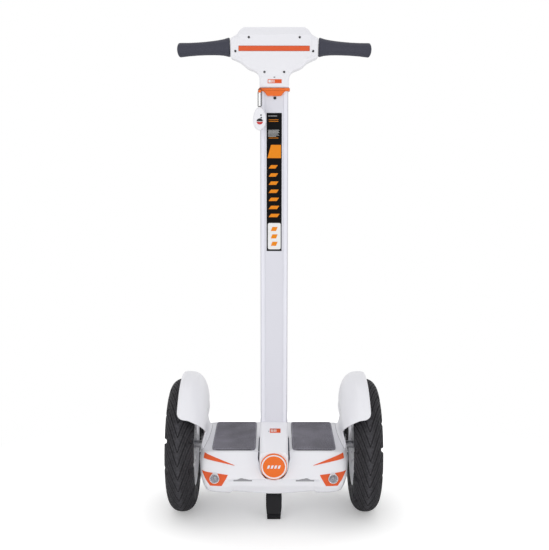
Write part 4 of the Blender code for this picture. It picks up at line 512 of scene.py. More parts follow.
class ScooterColours(bpy.types.PropertyGroup):
    """Colours that a user would change."""

    shell: colour_setting("Shell", "Body and head plastic", (0.80, 0.80, 0.84))
    column: colour_setting("Column", "Steering column", (0.68, 0.68, 0.74))
    accent: colour_setting("Accent", "Stripes and lamp surrounds", (0.74, 0.11, 0.03))
    badge: colour_setting("Badge", "Badge and collar", (0.83, 0.16, 0.021))
    trim: colour_setting("Trim", "Black plastic", (0.014, 0.0135, 0.0165))
    tyre: colour_setting("Tyre", "Tyre rubber", (0.031, 0.030, 0.034))
    pad: colour_setting("Pad", "Foot pads", (0.155, 0.15, 0.175))
    grip: colour_setting("Grip", "Hand grips", (0.050, 0.052, 0.074))


# Wheels


BEAD_TURN, SHOULDER_FILL, WIDEST, WALL_DEPTH = 0.40, 0.90, 0.1345, 0.0500
BEAD_FOOT = ((0.0300, 0.1100), (0.0335, 0.1114))
GROOVE_SLOPE, GROOVE_REACH, GROOVE_HALF, SIPE_HALF = 2.85, 0.036, 0.085, 0.06
FIRST_GROOVE = {-1: radians(-3.2), 1: radians(1.5)}
FIRST_NOTCH = {-1: radians(-8.9), 1: radians(9.8)}
NOTCH_HALF = 0.10


def filled(wave):
    """A wave to the power that fills the tyre's shoulders, with its sign kept."""
    return np.sign(wave) * np.abs(wave) ** SHOULDER_FILL


def tyre_section():
    """Places across a tyre and their radii: two half ovals from bead to bead, between the beads' feet.

    An oval's places are its half axes times the cosine and sine, each to a power that fills the shoulders.
    """
    q = np.linspace(-BEAD_TURN, pi + BEAD_TURN, 112)
    rise = filled(np.sin(q))
    foot_x, foot_r = np.array(BEAD_FOOT).T
    x = np.concatenate([foot_x, TYRE_HALF * filled(np.cos(q)), -foot_x[::-1]])
    r = WIDEST + np.where(rise > 0, TYRE_RADIUS - WIDEST, WALL_DEPTH) * rise
    return x, np.concatenate([foot_r, r, foot_r[::-1]])


def groove_depth(side, sizes, theta, x, r):
    """Depth of the chevron grooves, and of the finer cuts midway between them.

    A groove lies where the angle's arc less a slope times the distance from the middle meets a whole pitch.
    """
    arc = (theta - FIRST_GROOVE[side]) * TYRE_RADIUS - GROOVE_SLOPE * np.minimum(np.abs(x), GROOVE_REACH)
    pitch = 2 * pi * TYRE_RADIUS / sizes.tread_blocks
    groove, sipe = np.abs((arc / pitch + 0.5) % 1 - 0.5), np.abs((arc / pitch) % 1 - 0.5)
    depth = sizes.tread_depth * step(GROOVE_HALF - groove, 0, 0.045)
    depth += 0.6 * sizes.tread_depth * step(SIPE_HALF - sipe, 0, 0.03) * step(np.abs(x), 0.004, 0.007)
    return depth * step(r, 0.146, 0.152)


def notch_depth(side, sizes, theta, x, r):
    """Depth of the notches in both shoulders: half rounds of the angle, fading towards crown and bead."""
    turn = ((theta - FIRST_NOTCH[side]) * sizes.notches / (2 * pi) + 0.5) % 1 + 0 * x
    bite = np.sqrt(np.clip(1 - ((turn - 0.5) / NOTCH_HALF) ** 2, 0, 1))
    height = 0.45 * step(r, 0.114, 0.118) + 0.55 * step(r, 0.120, 0.130)
    return sizes.notch_depth * bite * (step(np.abs(x), 0.0250, 0.0300) * height)


def tyre_shape(side, sizes):
    """A tyre, its section carried round the axle, less its grooves and notches and with two raised rings.

    Its values are 1 on the lands and 0 in the grooves, which get painted shade, and higher along a lighter
    middle band.
    """
    x, r = tyre_section()
    out_x, out_r = np.gradient(r), -np.gradient(x)
    length = np.hypot(out_x, out_r)
    out_x, out_r = out_x / length, out_r / length
    theta = np.linspace(0, 2 * pi, 540, endpoint=False)[:, None]
    grooves = groove_depth(side, sizes, theta, x, r)
    rings = 0.0006 * np.exp(-((r - 0.1275) / 0.0008) ** 2) + 0.0006 * np.exp(-((r - 0.1125) / 0.001) ** 2)
    depth = np.maximum(grooves, notch_depth(side, sizes, theta, x, r)) - rings
    radius = r - depth * out_r
    across = side * TRACK + x - depth * out_x
    points = places(across, -radius * np.cos(theta), AXLE + radius * np.sin(theta))
    # Values for the finish: painted shade in the grooves, and a lighter band along the middle.
    lighter_middle = 0.75 + 0.45 * np.exp(-(x / 0.008) ** 2)
    return grid(points, around=True, ring=True), lighter_middle * (1 - np.clip(grooves / sizes.tread_depth, 0, 1))


class SCOOTER_OT_tyres(bpy.types.Operator):
    """Tyres with chevron grooves and notched shoulders"""

    bl_idname = "scooter.tyres"
    bl_label = "Tyres"

    def execute(self, context):
        for label, side in SIDES:
            shape, values = tyre_shape(side, context.scene.scooter_sizes)
            make(label + "_tyre_tread", label + "_wheel", "tyre", shape, [label + "_tyre"], lean=False,
                 sharp=50, values=values)
        return {"FINISHED"}


SPOKES, SPOKE_FOOT, SPOKE_END = 6, 0.066, 0.1035


def spokes(side, place):
    """Tapered spokes between the hub's band and the rim."""
    made = []
    section = box_outline((-0.0100, -0.0070), (0.0100, 0.0070), 0.0045, 4)
    radius = np.linspace(SPOKE_FOOT, SPOKE_END, 9)
    size = np.stack([np.interp(radius, (SPOKE_FOOT, 0.075, 0.095, SPOKE_END), (1.0, 0.78, 0.74, 1.0)),
                     np.interp(radius, (SPOKE_FOOT, 0.085, SPOKE_END), (1.0, 0.8, 0.9))], -1)
    for turn in np.arange(SPOKES) * (2 * pi / SPOKES):
        out = np.array((0, cos(turn), sin(turn)))
        path = place + (side * 0.004, 0, 0) + radius[:, None] * out
        made.append(swept(path, section, side=np.cross(out, (1, 0, 0)), scale=size))
    return made


RIM_PROFILE = ((-0.0320, 0.1100), (-0.0310, 0.1114), (-0.0245, 0.1113), (-0.0225, 0.1090), (0.0225, 0.1090),
               (0.0245, 0.1113), (0.0310, 0.1114), (0.0320, 0.1100), (0.0320, 0.1050), (0.0305, 0.1032),
               (0.0180, 0.1024), (-0.0180, 0.1024), (-0.0305, 0.1032), (-0.0320, 0.1050))
HUB_PROFILE = ((-0.0280, 0.0130), (-0.0280, 0.0300), (-0.0270, 0.0310), (-0.0270, 0.0340), (-0.0280, 0.0350),
               (-0.0280, 0.0560), (-0.0268, 0.0610), (-0.0235, 0.0640), (0.0235, 0.0640), (0.0268, 0.0610),
               (0.0280, 0.0560), (0.0280, 0.0350), (0.0270, 0.0340), (0.0270, 0.0310), (0.0280, 0.0300),
               (0.0280, 0.0130))
BAND_PROFILE = ((-0.0080, 0.0642), (-0.0080, 0.0685), (-0.0060, 0.0700), (0.0140, 0.0700), (0.0160, 0.0685),
                (0.0160, 0.0642))
CAP_PROFILE = ((0.0282, 0.0298), (0.0294, 0.0292), (0.0304, 0.0262), (0.0312, 0.0215), (0.0306, 0.0205),
               (0.0306, 0.0120), (0.0320, 0.0108), (0.0322, 0.0000))
VALVE_PROFILE = ((0.0000, 0.0000), (0.0000, 0.0030), (0.0080, 0.0030), (0.0090, 0.0026), (0.0180, 0.0024),
                 (0.0180, 0.0000))
HUB_FACE, BOLTS, BOLT_CIRCLE, BOLT_RADIUS = 0.0282, 8, 0.046, 0.0036
VALVE_CIRCLE, VALVE_TURN = 0.1040, 0.5


class SCOOTER_OT_wheels(bpy.types.Operator):
    """Rims with their spokes, motor hubs, their bolts and caps, and the valves"""

    bl_idname = "scooter.wheels"
    bl_label = "Wheels"

    def execute(self, context):
        for label, side in SIDES:
            place, axis, body = np.array((side * TRACK, 0, AXLE)), (side, 0, 0), label + "_wheel"
            rim = [turned(rounded(RIM_PROFILE, 0.0012, 3), place, axis, 128, ring=True),
                   turned(BAND_PROFILE, place, axis, 96, ring=True), *spokes(side, place)]
            make(label + "_rim_and_spokes", body, "alloy", rim, [label + "_rim"], lean=False, sharp=35)
            hub = turned(rounded(HUB_PROFILE, 0.0008, 3), place, axis, 96, ring=True)
            make(label + "_hub", body, "alloy", hub, [label + "_hub_shell"], lean=False)
            bolts = [screw_shape(place + (out * HUB_FACE, BOLT_CIRCLE * cos(a), BOLT_CIRCLE * sin(a)),
                                 (out, 0, 0), BOLT_RADIUS)
                     for a in np.arange(BOLTS) * (2 * pi / BOLTS) for out in (side, -side)]
            make(label + "_hub_bolts", body, "steel", bolts, lean=False)
            make(label + "_wheel_cap", body, "white", turned(CAP_PROFILE, place, axis, 72),
                 [label + "_hub_cap"], lean=False, wall=0.0012, outwards=place + (side * 0.2, 0, 0))
            out = np.array((0, cos(VALVE_TURN), sin(VALVE_TURN)))
            valve = turned(VALVE_PROFILE, place + (side * 0.010, 0, 0) + VALVE_CIRCLE * out, -out, 16)
            make(label + "_valve", body, "black", valve, lean=False)
        return {"FINISHED"}


# Body


def softened(z, table, spread=0.0025):
    """A line through (height, value) points, averaged over heights around z, which rounds its corners."""
    heights, values = np.array(table).T
    return sum(np.interp(z + shift, heights, values) for shift in np.linspace(-spread, spread, 7)) / 7


def reach_at(z):
    """How far the nose and tail stand out at a height."""
    table = ((CHIN, CHIN_REACH), ((CHIN + LIP) / 2, 0.156), (LIP, LIP_REACH), (0.172, WAIST_REACH),
             (DECK, DECK_REACH))
    return softened(z, table, 0.0012)


def half_at(z):
    """Half the body's width at a height."""
    table = ((CHIN - 0.004, CHIN_HALF - 0.014), (CHIN + 0.004, CHIN_HALF - 0.006),
             (CHIN + CHIN_RISE, CHIN_HALF), (LIP, LIP_HALF), (WAIST, BODY_HALF), (DECK, DECK_HALF))
    return softened(z, table)


def nose_depth(x, z):
    """The nose's distance from the axle plane: its reach times the root of one less the share's power."""
    share = np.minimum(np.abs(x) / half_at(z), 0.9999)
    return reach_at(z) * (1 - share ** POWER) ** (1 / POWER)


def body_point(angle, z, inset=0.0):
    """A place on the body's wall: an oval of a high power, with its half width and reach at that height."""
    across = np.abs(np.cos(angle)) / (half_at(z) - inset)
    along = np.abs(np.sin(angle)) / (reach_at(z) - inset)
    radius = (across ** POWER + along ** POWER) ** (-1 / POWER)
    return radius * np.cos(angle), radius * np.sin(angle)


def slot_half(z):
    """Half the width of the neck's opening: a bore about the pivot that opens upwards in a V."""
    above = np.interp(z, (PIVOT, 0.1850, DECK), (NECK_BORE, 0.0412, SLOT_HALF))
    return np.where(z > PIVOT, above, np.sqrt(np.maximum(NECK_BORE ** 2 - (PIVOT - z) ** 2, 0)))


def opened(shape, x, z, radius):
    """A shape without the faces whose middle lies inside a round opening seen from the front."""
    points, faces = shape
    middle = points[np.array(faces)].mean(axis=1)
    keep = np.hypot(middle[:, 0] - x, middle[:, 2] - z) > radius
    return points, [face for face, kept in zip(faces, keep) if kept]


SLOT_STOPS, SLOT_TOPS, SLOT_LOWS = (0.058, 0.087, 0.101), (0.1392, 0.1436, 0.1352), (0.1388, 0.1342)


def wedge(x, z):
    """1 inside the air slot's triangle, 0 outside, with soft sides."""
    top = np.interp(x, SLOT_STOPS, SLOT_TOPS)
    low = np.interp(x, SLOT_STOPS[::2], SLOT_LOWS)
    return step(top - z, 0, 0.0008) * step(z - low, 0, 0.0008)


def slot_floor(side):
    """A dark sheet of painted shade at the floor of an air slot: a patch a few millimetres behind the nose.
    """
    x = np.linspace(0.056, 0.103, 30)[None]
    z = np.linspace(0.1450, 0.1330, 12)[:, None]
    return grid(places(side * x, -(nose_depth(x, z) - 0.0052), z))


def end_shell(side, front):
    """Half of the nose or tail: rows run down from the deck's rounded edge over waist and lip to the chin.

    A row's angles go from the middle, or the neck's opening, to the seam beside the wheel. Between the lamp
    pods the wall steps back under the lip. The chin rises towards the sides by a power of the cosine, the
    square between the pods and the twelfth power under them.
    """
    edge, columns = 0.0028, 130
    turn = np.linspace(0, pi / 2, 5)
    levels = [np.linspace(DECK - edge, LIP, 50), LIP - np.linspace(0, 1, 22) ** 1.5 * (LIP - CHIN),
              PIVOT - NECK_BORE * np.cos(np.linspace(0, 1.2, 14))]
    levels = np.unique(np.round(np.concatenate(levels), 5))[::-1]
    z = np.concatenate([DECK - edge * (1 - np.cos(turn)), levels])[:, None]
    inset = np.concatenate([edge * (1 - np.sin(turn)), np.zeros(len(levels))])[:, None]
    first = slot_half(z) if front else 0 * z
    start = np.arctan2(nose_depth(first, z), first)
    wide = half_at(z)
    seam = np.arctan2(SEAM, wide * (1 - (SEAM / reach_at(z)) ** POWER) ** (1 / POWER))
    angle = start + (seam - start) * np.linspace(0, 1, columns)[None]
    pod = step(np.abs(body_point(angle, z)[0]), *POD_EDGE)
    rise = CHIN_RISE * (np.cos(angle) / np.cos(seam)) ** (2 + 10 * pod)
    chin = CHIN - MIDDLE_DROP + (MIDDLE_DROP + POD_LIFT) * pod + rise
    z = np.where(z < LIP, LIP - (LIP - z) / (LIP - CHIN) * (LIP - chin), z + 0 * angle)
    inset = inset + STEP_BACK * (1 - pod) * step(LIP - z, 0.0002, 0.0042)
    if front:
        inset = inset + SLOT_DEPTH * wedge(body_point(angle, z)[0], z)
    x, y = body_point(angle, z, inset)
    return grid(places(x, side * y, z))


def deck_shape():
    """The deck plate: the body's oval at deck height, its front cut open for the neck."""
    margin, half = 0.0034, SLOT_HALF
    angle = np.linspace(0, 2 * pi, 240, endpoint=False) - pi / 2
    outline = np.stack(body_point(angle, DECK, margin), -1)[np.abs(angle + pi / 2) > 0.3]
    outline = outline[(outline[:, 1] > 0) | (np.abs(outline[:, 0]) > half + 0.001)]
    front = float(nose_depth(half, DECK)) - margin
    right = [(-half, -front), (-half, -0.004), (-0.034, 0.004)]
    slot = right + [(-x, y) for x, y in right[::-1]]
    start = int(np.argmin(np.arctan2(outline[:, 0], -outline[:, 1]) % (2 * pi)))
    outline = np.vstack([np.roll(outline, -start, 0), slot])
    return plate(outline, DECK - 0.004, DECK - 0.0001, "Z", 0.0008, 3)


def trim_patch(corners, side, end, proud, columns=40, rows=14):
    """A four-sided patch on the nose or tail: its corners blended two ways, its depth from the wall."""
    corners = np.array(corners) * (-1, 1) + (BODY_HALF, AXLE)
    u, v = np.linspace(0, 1, columns)[None, :, None], np.linspace(0, 1, rows)[:, None, None]
    top, low = corners[0] * (1 - u) + corners[1] * u, corners[3] * (1 - u) + corners[2] * u
    x, z = np.moveaxis(top * (1 - v) + low * v, -1, 0)
    return grid(places(side * x, end * (nose_depth(x, z) + proud), z))


STRIPE = ((0.0147, 0.0197), (0.0918, -0.0066), (0.0928, -0.0075), (0.0126, 0.0074))
BEZEL = ((0.0081, -0.0195), (0.0762, -0.0269), (0.0604, -0.0550), (0.0305, -0.0546))
TAIL_LAMP = ((0.0275, -0.0135), (0.0975, -0.0175), (0.0895, -0.0295), (0.0335, -0.0275))


class SCOOTER_OT_shells(bpy.types.Operator):
    """Nose, tail and deck"""

    bl_idname = "scooter.shells"
    bl_label = "Body Shells"

    def execute(self, context):
        nose = opened(end_shell(-1, True), LAMP_X, LAMP_Z, LAMP_RADIUS - LAMP_LAP)
        for name, half, node, end in (("nose_shell", nose, "front_fascia", -1),
                                      ("tail_shell", end_shell(1, False), "rear_fascia", 1)):
            make(name, "chassis", "white", [half, sided(half, -1)], [node], wall=SHELL_WALL,
                 outwards=(0.06, end * 0.30, 0.165))
        make("deck_top", "chassis", "white", deck_shape(), ["deck_cover"])
        for label, side in SIDES:
            # Dark sheets of painted shade in the air slots.
            make(label + "_air_slot_painted_shade", "chassis", "slot", slot_floor(side))
        return {"FINISHED"}


class SCOOTER_OT_trims(bpy.types.Operator):
    """Accent stripes, lamp surrounds and tail lamps"""

    bl_idname = "scooter.trims"
    bl_label = "Trims"

    def execute(self, context):
        for label, side in SIDES:
            stripe = trim_patch(STRIPE, side, -1, 0.0011)
            make(label + "_stripe", "chassis", "orange", stripe, [label + "_accent_stripe"], wall=TRIM_WALL,
                 outwards=(side * 0.14, -0.4, 0.19), bevel=0.0003)
            bezel = trim_patch(BEZEL, side, -1, 0.0013, 56, 26)
            bezel = opened(bezel, side * LAMP_X, LAMP_Z, LAMP_RADIUS - LAMP_LAP)
            make(label + "_bezel", "chassis", "orange", bezel, [label + "_lamp_bezel"], wall=TRIM_WALL,
                 outwards=(side * 0.12, -0.4, 0.145), bevel=0.0003)
            tail = trim_patch(TAIL_LAMP, side, 1, 0.0013)
            make(label + "_tail_light", "chassis", "red", tail, [label + "_tail_lamp"], wall=TRIM_WALL,
                 outwards=(side * 0.13, 0.4, 0.155), bevel=0.0004)
        return {"FINISHED"}


LAMP_RING = ((0.0000, 0.0107), (-0.0010, 0.0111), (-0.0012, 0.0118), (-0.0006, 0.0125), (0.0008, 0.0129),
             (0.0060, 0.0128), (0.0150, 0.0125), (0.0150, 0.0101), (0.0020, 0.0101))
LAMP_BOWL = ((0.0016, 0.0102), (0.0030, 0.0098), (0.0045, 0.0094), (0.0052, 0.0086), (0.0070, 0.0078),
             (0.0076, 0.0069), (0.0092, 0.0058), (0.0097, 0.0043), (0.0108, 0.0032), (0.0110, 0.0000))
LAMP_BULB = ((0.0112, 0.0030), (0.0070, 0.0030), (0.0052, 0.0024), (0.0044, 0.0012), (0.0042, 0.0000))
LAMP_COVER = ((0.0018, 0.0000), (0.0019, 0.0037), (0.0022, 0.0074), (0.0026, 0.0100), (0.0034, 0.0100),
              (0.0030, 0.0074), (0.0027, 0.0037), (0.0026, 0.0000))


class SCOOTER_OT_lamps(bpy.types.Operator):
    """Headlamps: a bright ring, a stepped reflector, a bulb and a clear front"""

    bl_idname = "scooter.lamps"
    bl_label = "Headlamps"

    def execute(self, context):
        front = -(float(nose_depth(LAMP_X, LAMP_Z)) + 0.0038)
        for label, side in SIDES:
            place, axis = (side * LAMP_X, front, LAMP_Z), (0, 1, 0)
            make(label + "_lamp_ring", "chassis", "chrome", turned(LAMP_RING, place, axis, ring=True),
                 [label + "_headlamp"])
            make(label + "_lamp_bowl", "chassis", "reflector", turned(LAMP_BOWL, place, axis), wall=0.0004,
                 outwards=(side * LAMP_X, front - 0.2, LAMP_Z))
            make(label + "_lamp_bulb", "chassis", "white_ink", turned(LAMP_BULB, place, axis),
                 slot="clear_lens")
            make(label + "_lamp_cover", "chassis", "lens", turned(LAMP_COVER, place, axis))
        return {"FINISHED"}


PAD_LOW, PAD_HIGH, PAD_POWER = (0.048, -0.110), (0.161, 0.110), 14
PAD_RISE, PAD_EDGE, RIB_SLOPE = 0.0033, 0.0014, 0.75


def pad_shape(side, sizes):
    """A foot pad: a rounded rectangle from a square whose corners a norm of a high power pulls in.

    Its skin carries two sets of slanting ribs: a rib's height is a triangle wave of the distance across it.
    """
    low, high = np.array(PAD_LOW), np.array(PAD_HIGH)
    middle, half = (low + high) / 2, (high - low) / 2
    u = np.concatenate([[-1], np.linspace(-1, 1, 150), [1]])[None]
    v = np.concatenate([[-1], np.linspace(-1, 1, 290), [1]])[:, None]
    norm = (np.abs(u) ** PAD_POWER + np.abs(v) ** PAD_POWER) ** (1 / PAD_POWER)
    pull = np.maximum(np.abs(u), np.abs(v)) / np.maximum(norm, 1e-9)
    x, y = middle[0] + half[0] * u * pull, middle[1] + half[1] * v * pull
    margin = np.minimum(half[0] - np.abs(x - middle[0]), half[1] - np.abs(y - middle[1]))
    short = 1 - np.clip(margin / PAD_EDGE, 0, 1)
    rise = PAD_RISE - PAD_EDGE * (1 - np.sqrt(np.clip(1 - short ** 2, 0, 1)))
    across, along = (x + RIB_SLOPE * y) / sizes.rib_pitch, (x - RIB_SLOPE * y) / sizes.rib_pitch
    wave = np.minimum(np.abs(across % 1 - 0.5), np.abs(along % 1 - 0.5))
    rise = rise - sizes.rib_height * step(0.17 - wave, 0, 0.12) * step(margin, 0.003, 0.004)
    z = DECK + rise
    z[0], z[-1], z[:, 0], z[:, -1] = (DECK - 0.001,) * 4
    # The values carry painted shade: 1 on the ribs' tops, falling to 0 in the grooves and down the rounded
    # rim.
    return grid(places(side * x, y, z), under=True), 1 - np.clip((PAD_RISE - rise) / sizes.rib_height, 0, 1)


class SCOOTER_OT_pads(bpy.types.Operator):
    """Ribbed foot pads"""

    bl_idname = "scooter.pads"
    bl_label = "Foot Pads"

    def execute(self, context):
        for label, side in SIDES:
            shape, values = pad_shape(side, context.scene.scooter_sizes)
            make(label + "_pad", "chassis", "pad", shape, [label + "_foot_pad"], sharp=55, values=values)
        return {"FINISHED"}


FENDER_EDGE = ((0.2462, 0.1940), (0.2455, 0.1968), (0.2425, 0.2000), (0.2360, 0.2016), (0.2285, 0.2015))
CROWN_X, CROWN_RADIUS, CROWN_WIDTH, CROWN_DEPTH, CROWN_DROP = 0.222, 0.2008, 0.0465, 0.0763, 0.0050
KNEE_X, FOOT_TOP_X, FOOT_LOW, FOOT_REACH = 0.1832, 0.1880, 0.188, 0.092


def fender_shape(side):
    """A fender: a crown section carried round the tyre and let down to the deck's edge as a panel.

    The crown is a rolled edge and a quarter ellipse of distance from the wheel's middle; its outer corners
    are rounded by an arc that shortens with the square of the distance from the panel, and its top is let
    down by a cosine that is nothing at the front and rear edges.
    """
    angles = np.linspace(-1, 1, 90)[:, None] * FENDER_ARC
    turn = np.linspace(0.14, pi / 2, 14)
    across, radius = CROWN_X - CROWN_WIDTH * np.sin(turn), CROWN_RADIUS - CROWN_DEPTH * (1 - np.cos(turn))
    crown = curve(np.vstack([FENDER_EDGE, np.stack([across, radius], -1)]), 44)
    share = np.linspace(0, 1, len(crown))[None]
    shorter = 0.1 * np.maximum(0, 1 - share / 0.9) ** 2 + 0.13 * np.maximum(0, 1 - share / 0.2) ** 2
    angle = angles * (1 - shorter)
    rear = 0.0055 * step(angle, 0.1, 0.9) * step(share, 0.4, 0.9)
    x, radius = crown[None, :, 0] + rear, crown[None, :, 1]
    height = AXLE + radius * np.cos(angle) - CROWN_DROP * np.cos(1.6 * angle)
    top = places(x, radius * np.sin(angle), height)
    last, foot_y = top[:, -1], FOOT_REACH * angles[:, 0] / FENDER_ARC
    knee = places(KNEE_X + 0.0030 * step(foot_y, 0, 0.08), 0.4 * last[:, 1] + 0.6 * foot_y,
                  DECK + 0.4 * (last[:, 2] - DECK))
    foot_top = places(FOOT_TOP_X, foot_y, DECK)
    foot = places(float(half_at(FOOT_LOW)) + 0.0005, foot_y, FOOT_LOW)
    panel = curve(np.stack([top[:, -2], last, knee, foot_top, foot]), 30)[8:]
    points = np.concatenate([top[:, :-1], np.moveaxis(panel, 0, 1)], axis=1)
    return grid(points * (side, 1, 1))


def fender_foot(side):
    """The foot that carries a fender's panel on the deck, and a dark strip of painted shade along the seam
    round its inner edge.

    Its section goes up from the deck in a hollow curve; the inner edge bends in by the square of the place.
    """
    y = np.linspace(-0.096, 0.096, 24)[:, None]
    inner, outer, high, sunk = 0.1720 - 0.0550 * (y - 0.0500) + 0.4 * y ** 2, 0.1868, 0.0400, -0.0010
    section = curve([(0.0, 0.0), (0.30, 0.0026), (0.62, 0.0120), (0.84, 0.0260), (0.96, high)], 12)
    share = np.concatenate([[0.0], section[:, 0], [1.0, 1.0]])[None]
    rise = np.concatenate([[sunk], section[:, 1] + 0.0006, [high, sunk]])[None]
    foot = grid(places(side * (inner + (outer - inner) * share), y, DECK + rise), around=True, ends=True)
    edge = side * (inner + (-0.0008, -0.0008, 0.0010, 0.0010))
    level = DECK + np.array((sunk, 0.0004, 0.0004, sunk))
    return foot, grid(places(edge, y, level), around=True, ends=True)


STAY = ((0.1942, 0.2880), (0.2002, 0.2860), (0.1990, 0.2620), (0.1962, 0.2420), (0.1948, 0.2420),
        (0.1940, 0.2560))
DARK_BAR_LOW, DARK_BAR_HIGH = (0.1842, 0.2300), (0.1936, 0.2800)


class SCOOTER_OT_fenders(bpy.types.Operator):
    """Fenders over the tyres, each with its foot on the deck, a stay with a black bar beside it, and a screw
    """

    bl_idname = "scooter.fenders"
    bl_label = "Fenders"

    def execute(self, context):
        for label, side in SIDES:
            make(label + "_mudguard", "chassis", "white", fender_shape(side), [label + "_fender"],
                 wall=0.003, outwards=(side * 0.20, 0, 0.5), bevel=0.0009, sharp=60)
            foot, seam = fender_foot(side)
            make(label + "_fender_foot", "chassis", "white", foot, sharp=50)
            # A dark strip of painted shade in the seam between foot and deck.
            make(label + "_deck_seam_painted_shade", "chassis", "slot", seam)
            stay = front_plate(STAY, -0.1130, 0.0030, 0.0006)
            make(label + "_fender_stay", "chassis", "white", sided(stay, side))
            dark_bar = front_plate(box_outline(DARK_BAR_LOW, DARK_BAR_HIGH, 0.0010), -0.0890, 0.0040, 0.0006)
            make(label + "_fender_dark_bar", "chassis", "black", sided(dark_bar, side))
            screw = screw_shape((side * 0.1765, -0.040, 0.288), (-side, 0, 0), 0.0036)
            make(label + "_fender_screw", "chassis", "steel", screw)
        return {"FINISHED"}


SLEEVE_STOPS = ((0.0655, -0.0722, 0.0196), (0.0649, -0.0724, 0.0209), (0.0585, -0.0750, 0.0211),
                (0.0360, -0.0822, 0.0208), (0.0230, -0.0861, 0.0193), (0.0182, -0.0878, 0.0188))
STAND_FOOT_STOPS = ((0.0067, 0.0172), (0.0073, 0.0176), (0.0170, 0.0184), (0.0178, 0.0180))


def stand_sleeve():
    """The rubber sleeve on the stand's leg: round-cornered sections, widest under the knee."""
    return lofted([(box_outline((-half, y - 0.0084), (half, y + 0.0084), 0.0022), z)
                   for z, y, half in SLEEVE_STOPS], "Z")


def stand_foot():
    """The stand's foot: round-cornered sections, a little wider at their middle."""
    return lofted([(box_outline((-half, -0.1005), (half, -0.0755), 0.0024), z)
                   for z, half in STAND_FOOT_STOPS], "Z")


def stand_ribs():
    """Upright ribs across the front of the stand's foot."""
    outlines = [box_outline((x - 0.0009, 0.0082), (x + 0.0009, 0.0160), 0.0006)
                for x in np.linspace(-0.0130, 0.0130, 8)]
    return [front_plate(outline, -0.1012, 0.0012, 0.0003) for outline in outlines]


class SCOOTER_OT_stand(bpy.types.Operator):
    """The stand's sleeve and its ribbed foot"""

    bl_idname = "scooter.stand"
    bl_label = "Stand"

    def execute(self, context):
        make("stand_sleeve", "kickstand", "black", stand_sleeve(), bevel=0.0006)
        make("stand_foot", "kickstand", "black", stand_foot(), ["kickstand_foot"])
        make("stand_ribs", "kickstand", "black", stand_ribs())
        return {"FINISHED"}


# Steering


def neck_shape():
    """The neck cover: sections along Y, from a half round over the pivot to a flat top with round corners.

    Where it stands in the deck's opening its sides are drawn in, which leaves it room to lean.
    """
    y = np.concatenate([[-0.1520, -0.1514, -0.1500], np.linspace(-0.1480, -NECK_BACK, 40),
                        [-0.050, -0.030, -0.012, -0.0062, -0.0050]])
    grow = np.interp(y, (-0.1520, -0.1514, -0.1500, -0.0062, -0.0050), (-0.0018, -0.0006, 0, 0, -0.0012))
    share = np.clip((y + NECK_FRONT) / (NECK_FRONT - NECK_BACK), 0, 1)
    height = NECK_LOW + (NECK_TOP - NECK_LOW) * share + grow
    corner = 0.0150 - 0.006 * np.minimum(1, share / 0.45) + grow
    half = NECK_HALF + grow
    turn = np.linspace(0, pi / 2, 14)[None]
    arc_x = (half - corner)[:, None] + corner[:, None] * np.cos(turn)
    arc_z = (height - corner)[:, None] + corner[:, None] * np.sin(turn)
    room = 0.0022 * step(y, -0.1340, -0.1270)[:, None]
    side_x = half[:, None] - room * np.array((1, 1, 0))
    side_z = np.minimum((0.1700, 0.2085, 0.2120), arc_z[:, :1] - (0.0030, 0.0020, 0.0010))
    x, z = np.hstack([side_x, arc_x]), np.hstack([side_z, arc_z])
    x, z = np.hstack([x, -x[:, ::-1]]), np.hstack([z, z[:, ::-1]])
    return grid(places(x, y[:, None], z), around=True, ends=True)


def ramp_plate(low, high, proud):
    """A thin label on the neck's ramp between two corners, given across and in height."""
    x, z = np.linspace(low[0], high[0], 3)[None], np.linspace(low[1], high[1], 3)[:, None]
    run, rise = NECK_FRONT - NECK_BACK, NECK_TOP - NECK_LOW
    slope = np.arctan2(rise, run)
    y = (z - NECK_LOW) / rise * run - NECK_FRONT
    return grid(places(x, y - proud * sin(slope), z + proud * cos(slope)))


BOSS_PROFILE = ((0.0000, 0.0000), (0.0000, 0.0350), (0.0004, 0.0358), (0.0012, 0.0362), (0.0420, 0.0362),
                (0.0420, 0.0000))


class SCOOTER_OT_neck(bpy.types.Operator):
    """Neck cover with its boss and small label"""

    bl_idname = "scooter.neck"
    bl_label = "Neck"

    def execute(self, context):
        boss = turned(BOSS_PROFILE, (0, -0.1522, PIVOT), (0, 1, 0), 96)
        make("neck_shell", "steering", "white", [neck_shape(), boss], ["neck_cover"], sharp=40)
        label = ramp_plate((-0.0105, 0.2408), (0.0173, 0.2474), 0.0006)
        bars = [ramp_plate((x, 0.2422), (x + 0.0022, 0.2460), 0.0008) for x in np.arange(4) * 0.004 - 0.008]
        dot = ramp_plate((-0.0142, 0.2424), (-0.0130, 0.2438), 0.0006)
        for name, finish, shapes, wall in (("neck_label", "orange_ink", label, 0.0005),
                                           ("neck_label_bars", "white_ink", bars, 0.0002),
                                           ("neck_dot", "ink", dot, 0.0004)):
            make(name, "steering", finish, shapes, wall=wall, outwards=(0, -0.3, 0.5))
        return {"FINISHED"}


BADGE_RIM = ((0.0004, 0.0318), (0.0000, 0.0322), (0.0000, 0.0330), (0.0008, 0.0335), (0.0080, 0.0335),
             (0.0080, 0.0300))
BADGE_RING = ((0.0012, 0.0282), (0.0004, 0.0287), (0.0000, 0.0296), (0.0000, 0.0312), (0.0006, 0.0320),
              (0.0070, 0.0320), (0.0070, 0.0282))
BADGE_DISC = ((0.0010, 0.0000), (0.0009, 0.0140), (0.0008, 0.0240), (0.0010, 0.0270), (0.0016, 0.0284),
              (0.0070, 0.0284), (0.0070, 0.0000))


def badge_strokes():
    """Four plain slanting strokes across the badge's middle."""
    low, high, width, lean = PIVOT - 0.0042, PIVOT + 0.0042, 0.0052, 0.0030
    return [front_plate(slanted(x, low, high, width, lean), -0.1599, 0.0008, 0.0002)
            for x in (-0.0175, -0.0085, 0.0005, 0.0095)]


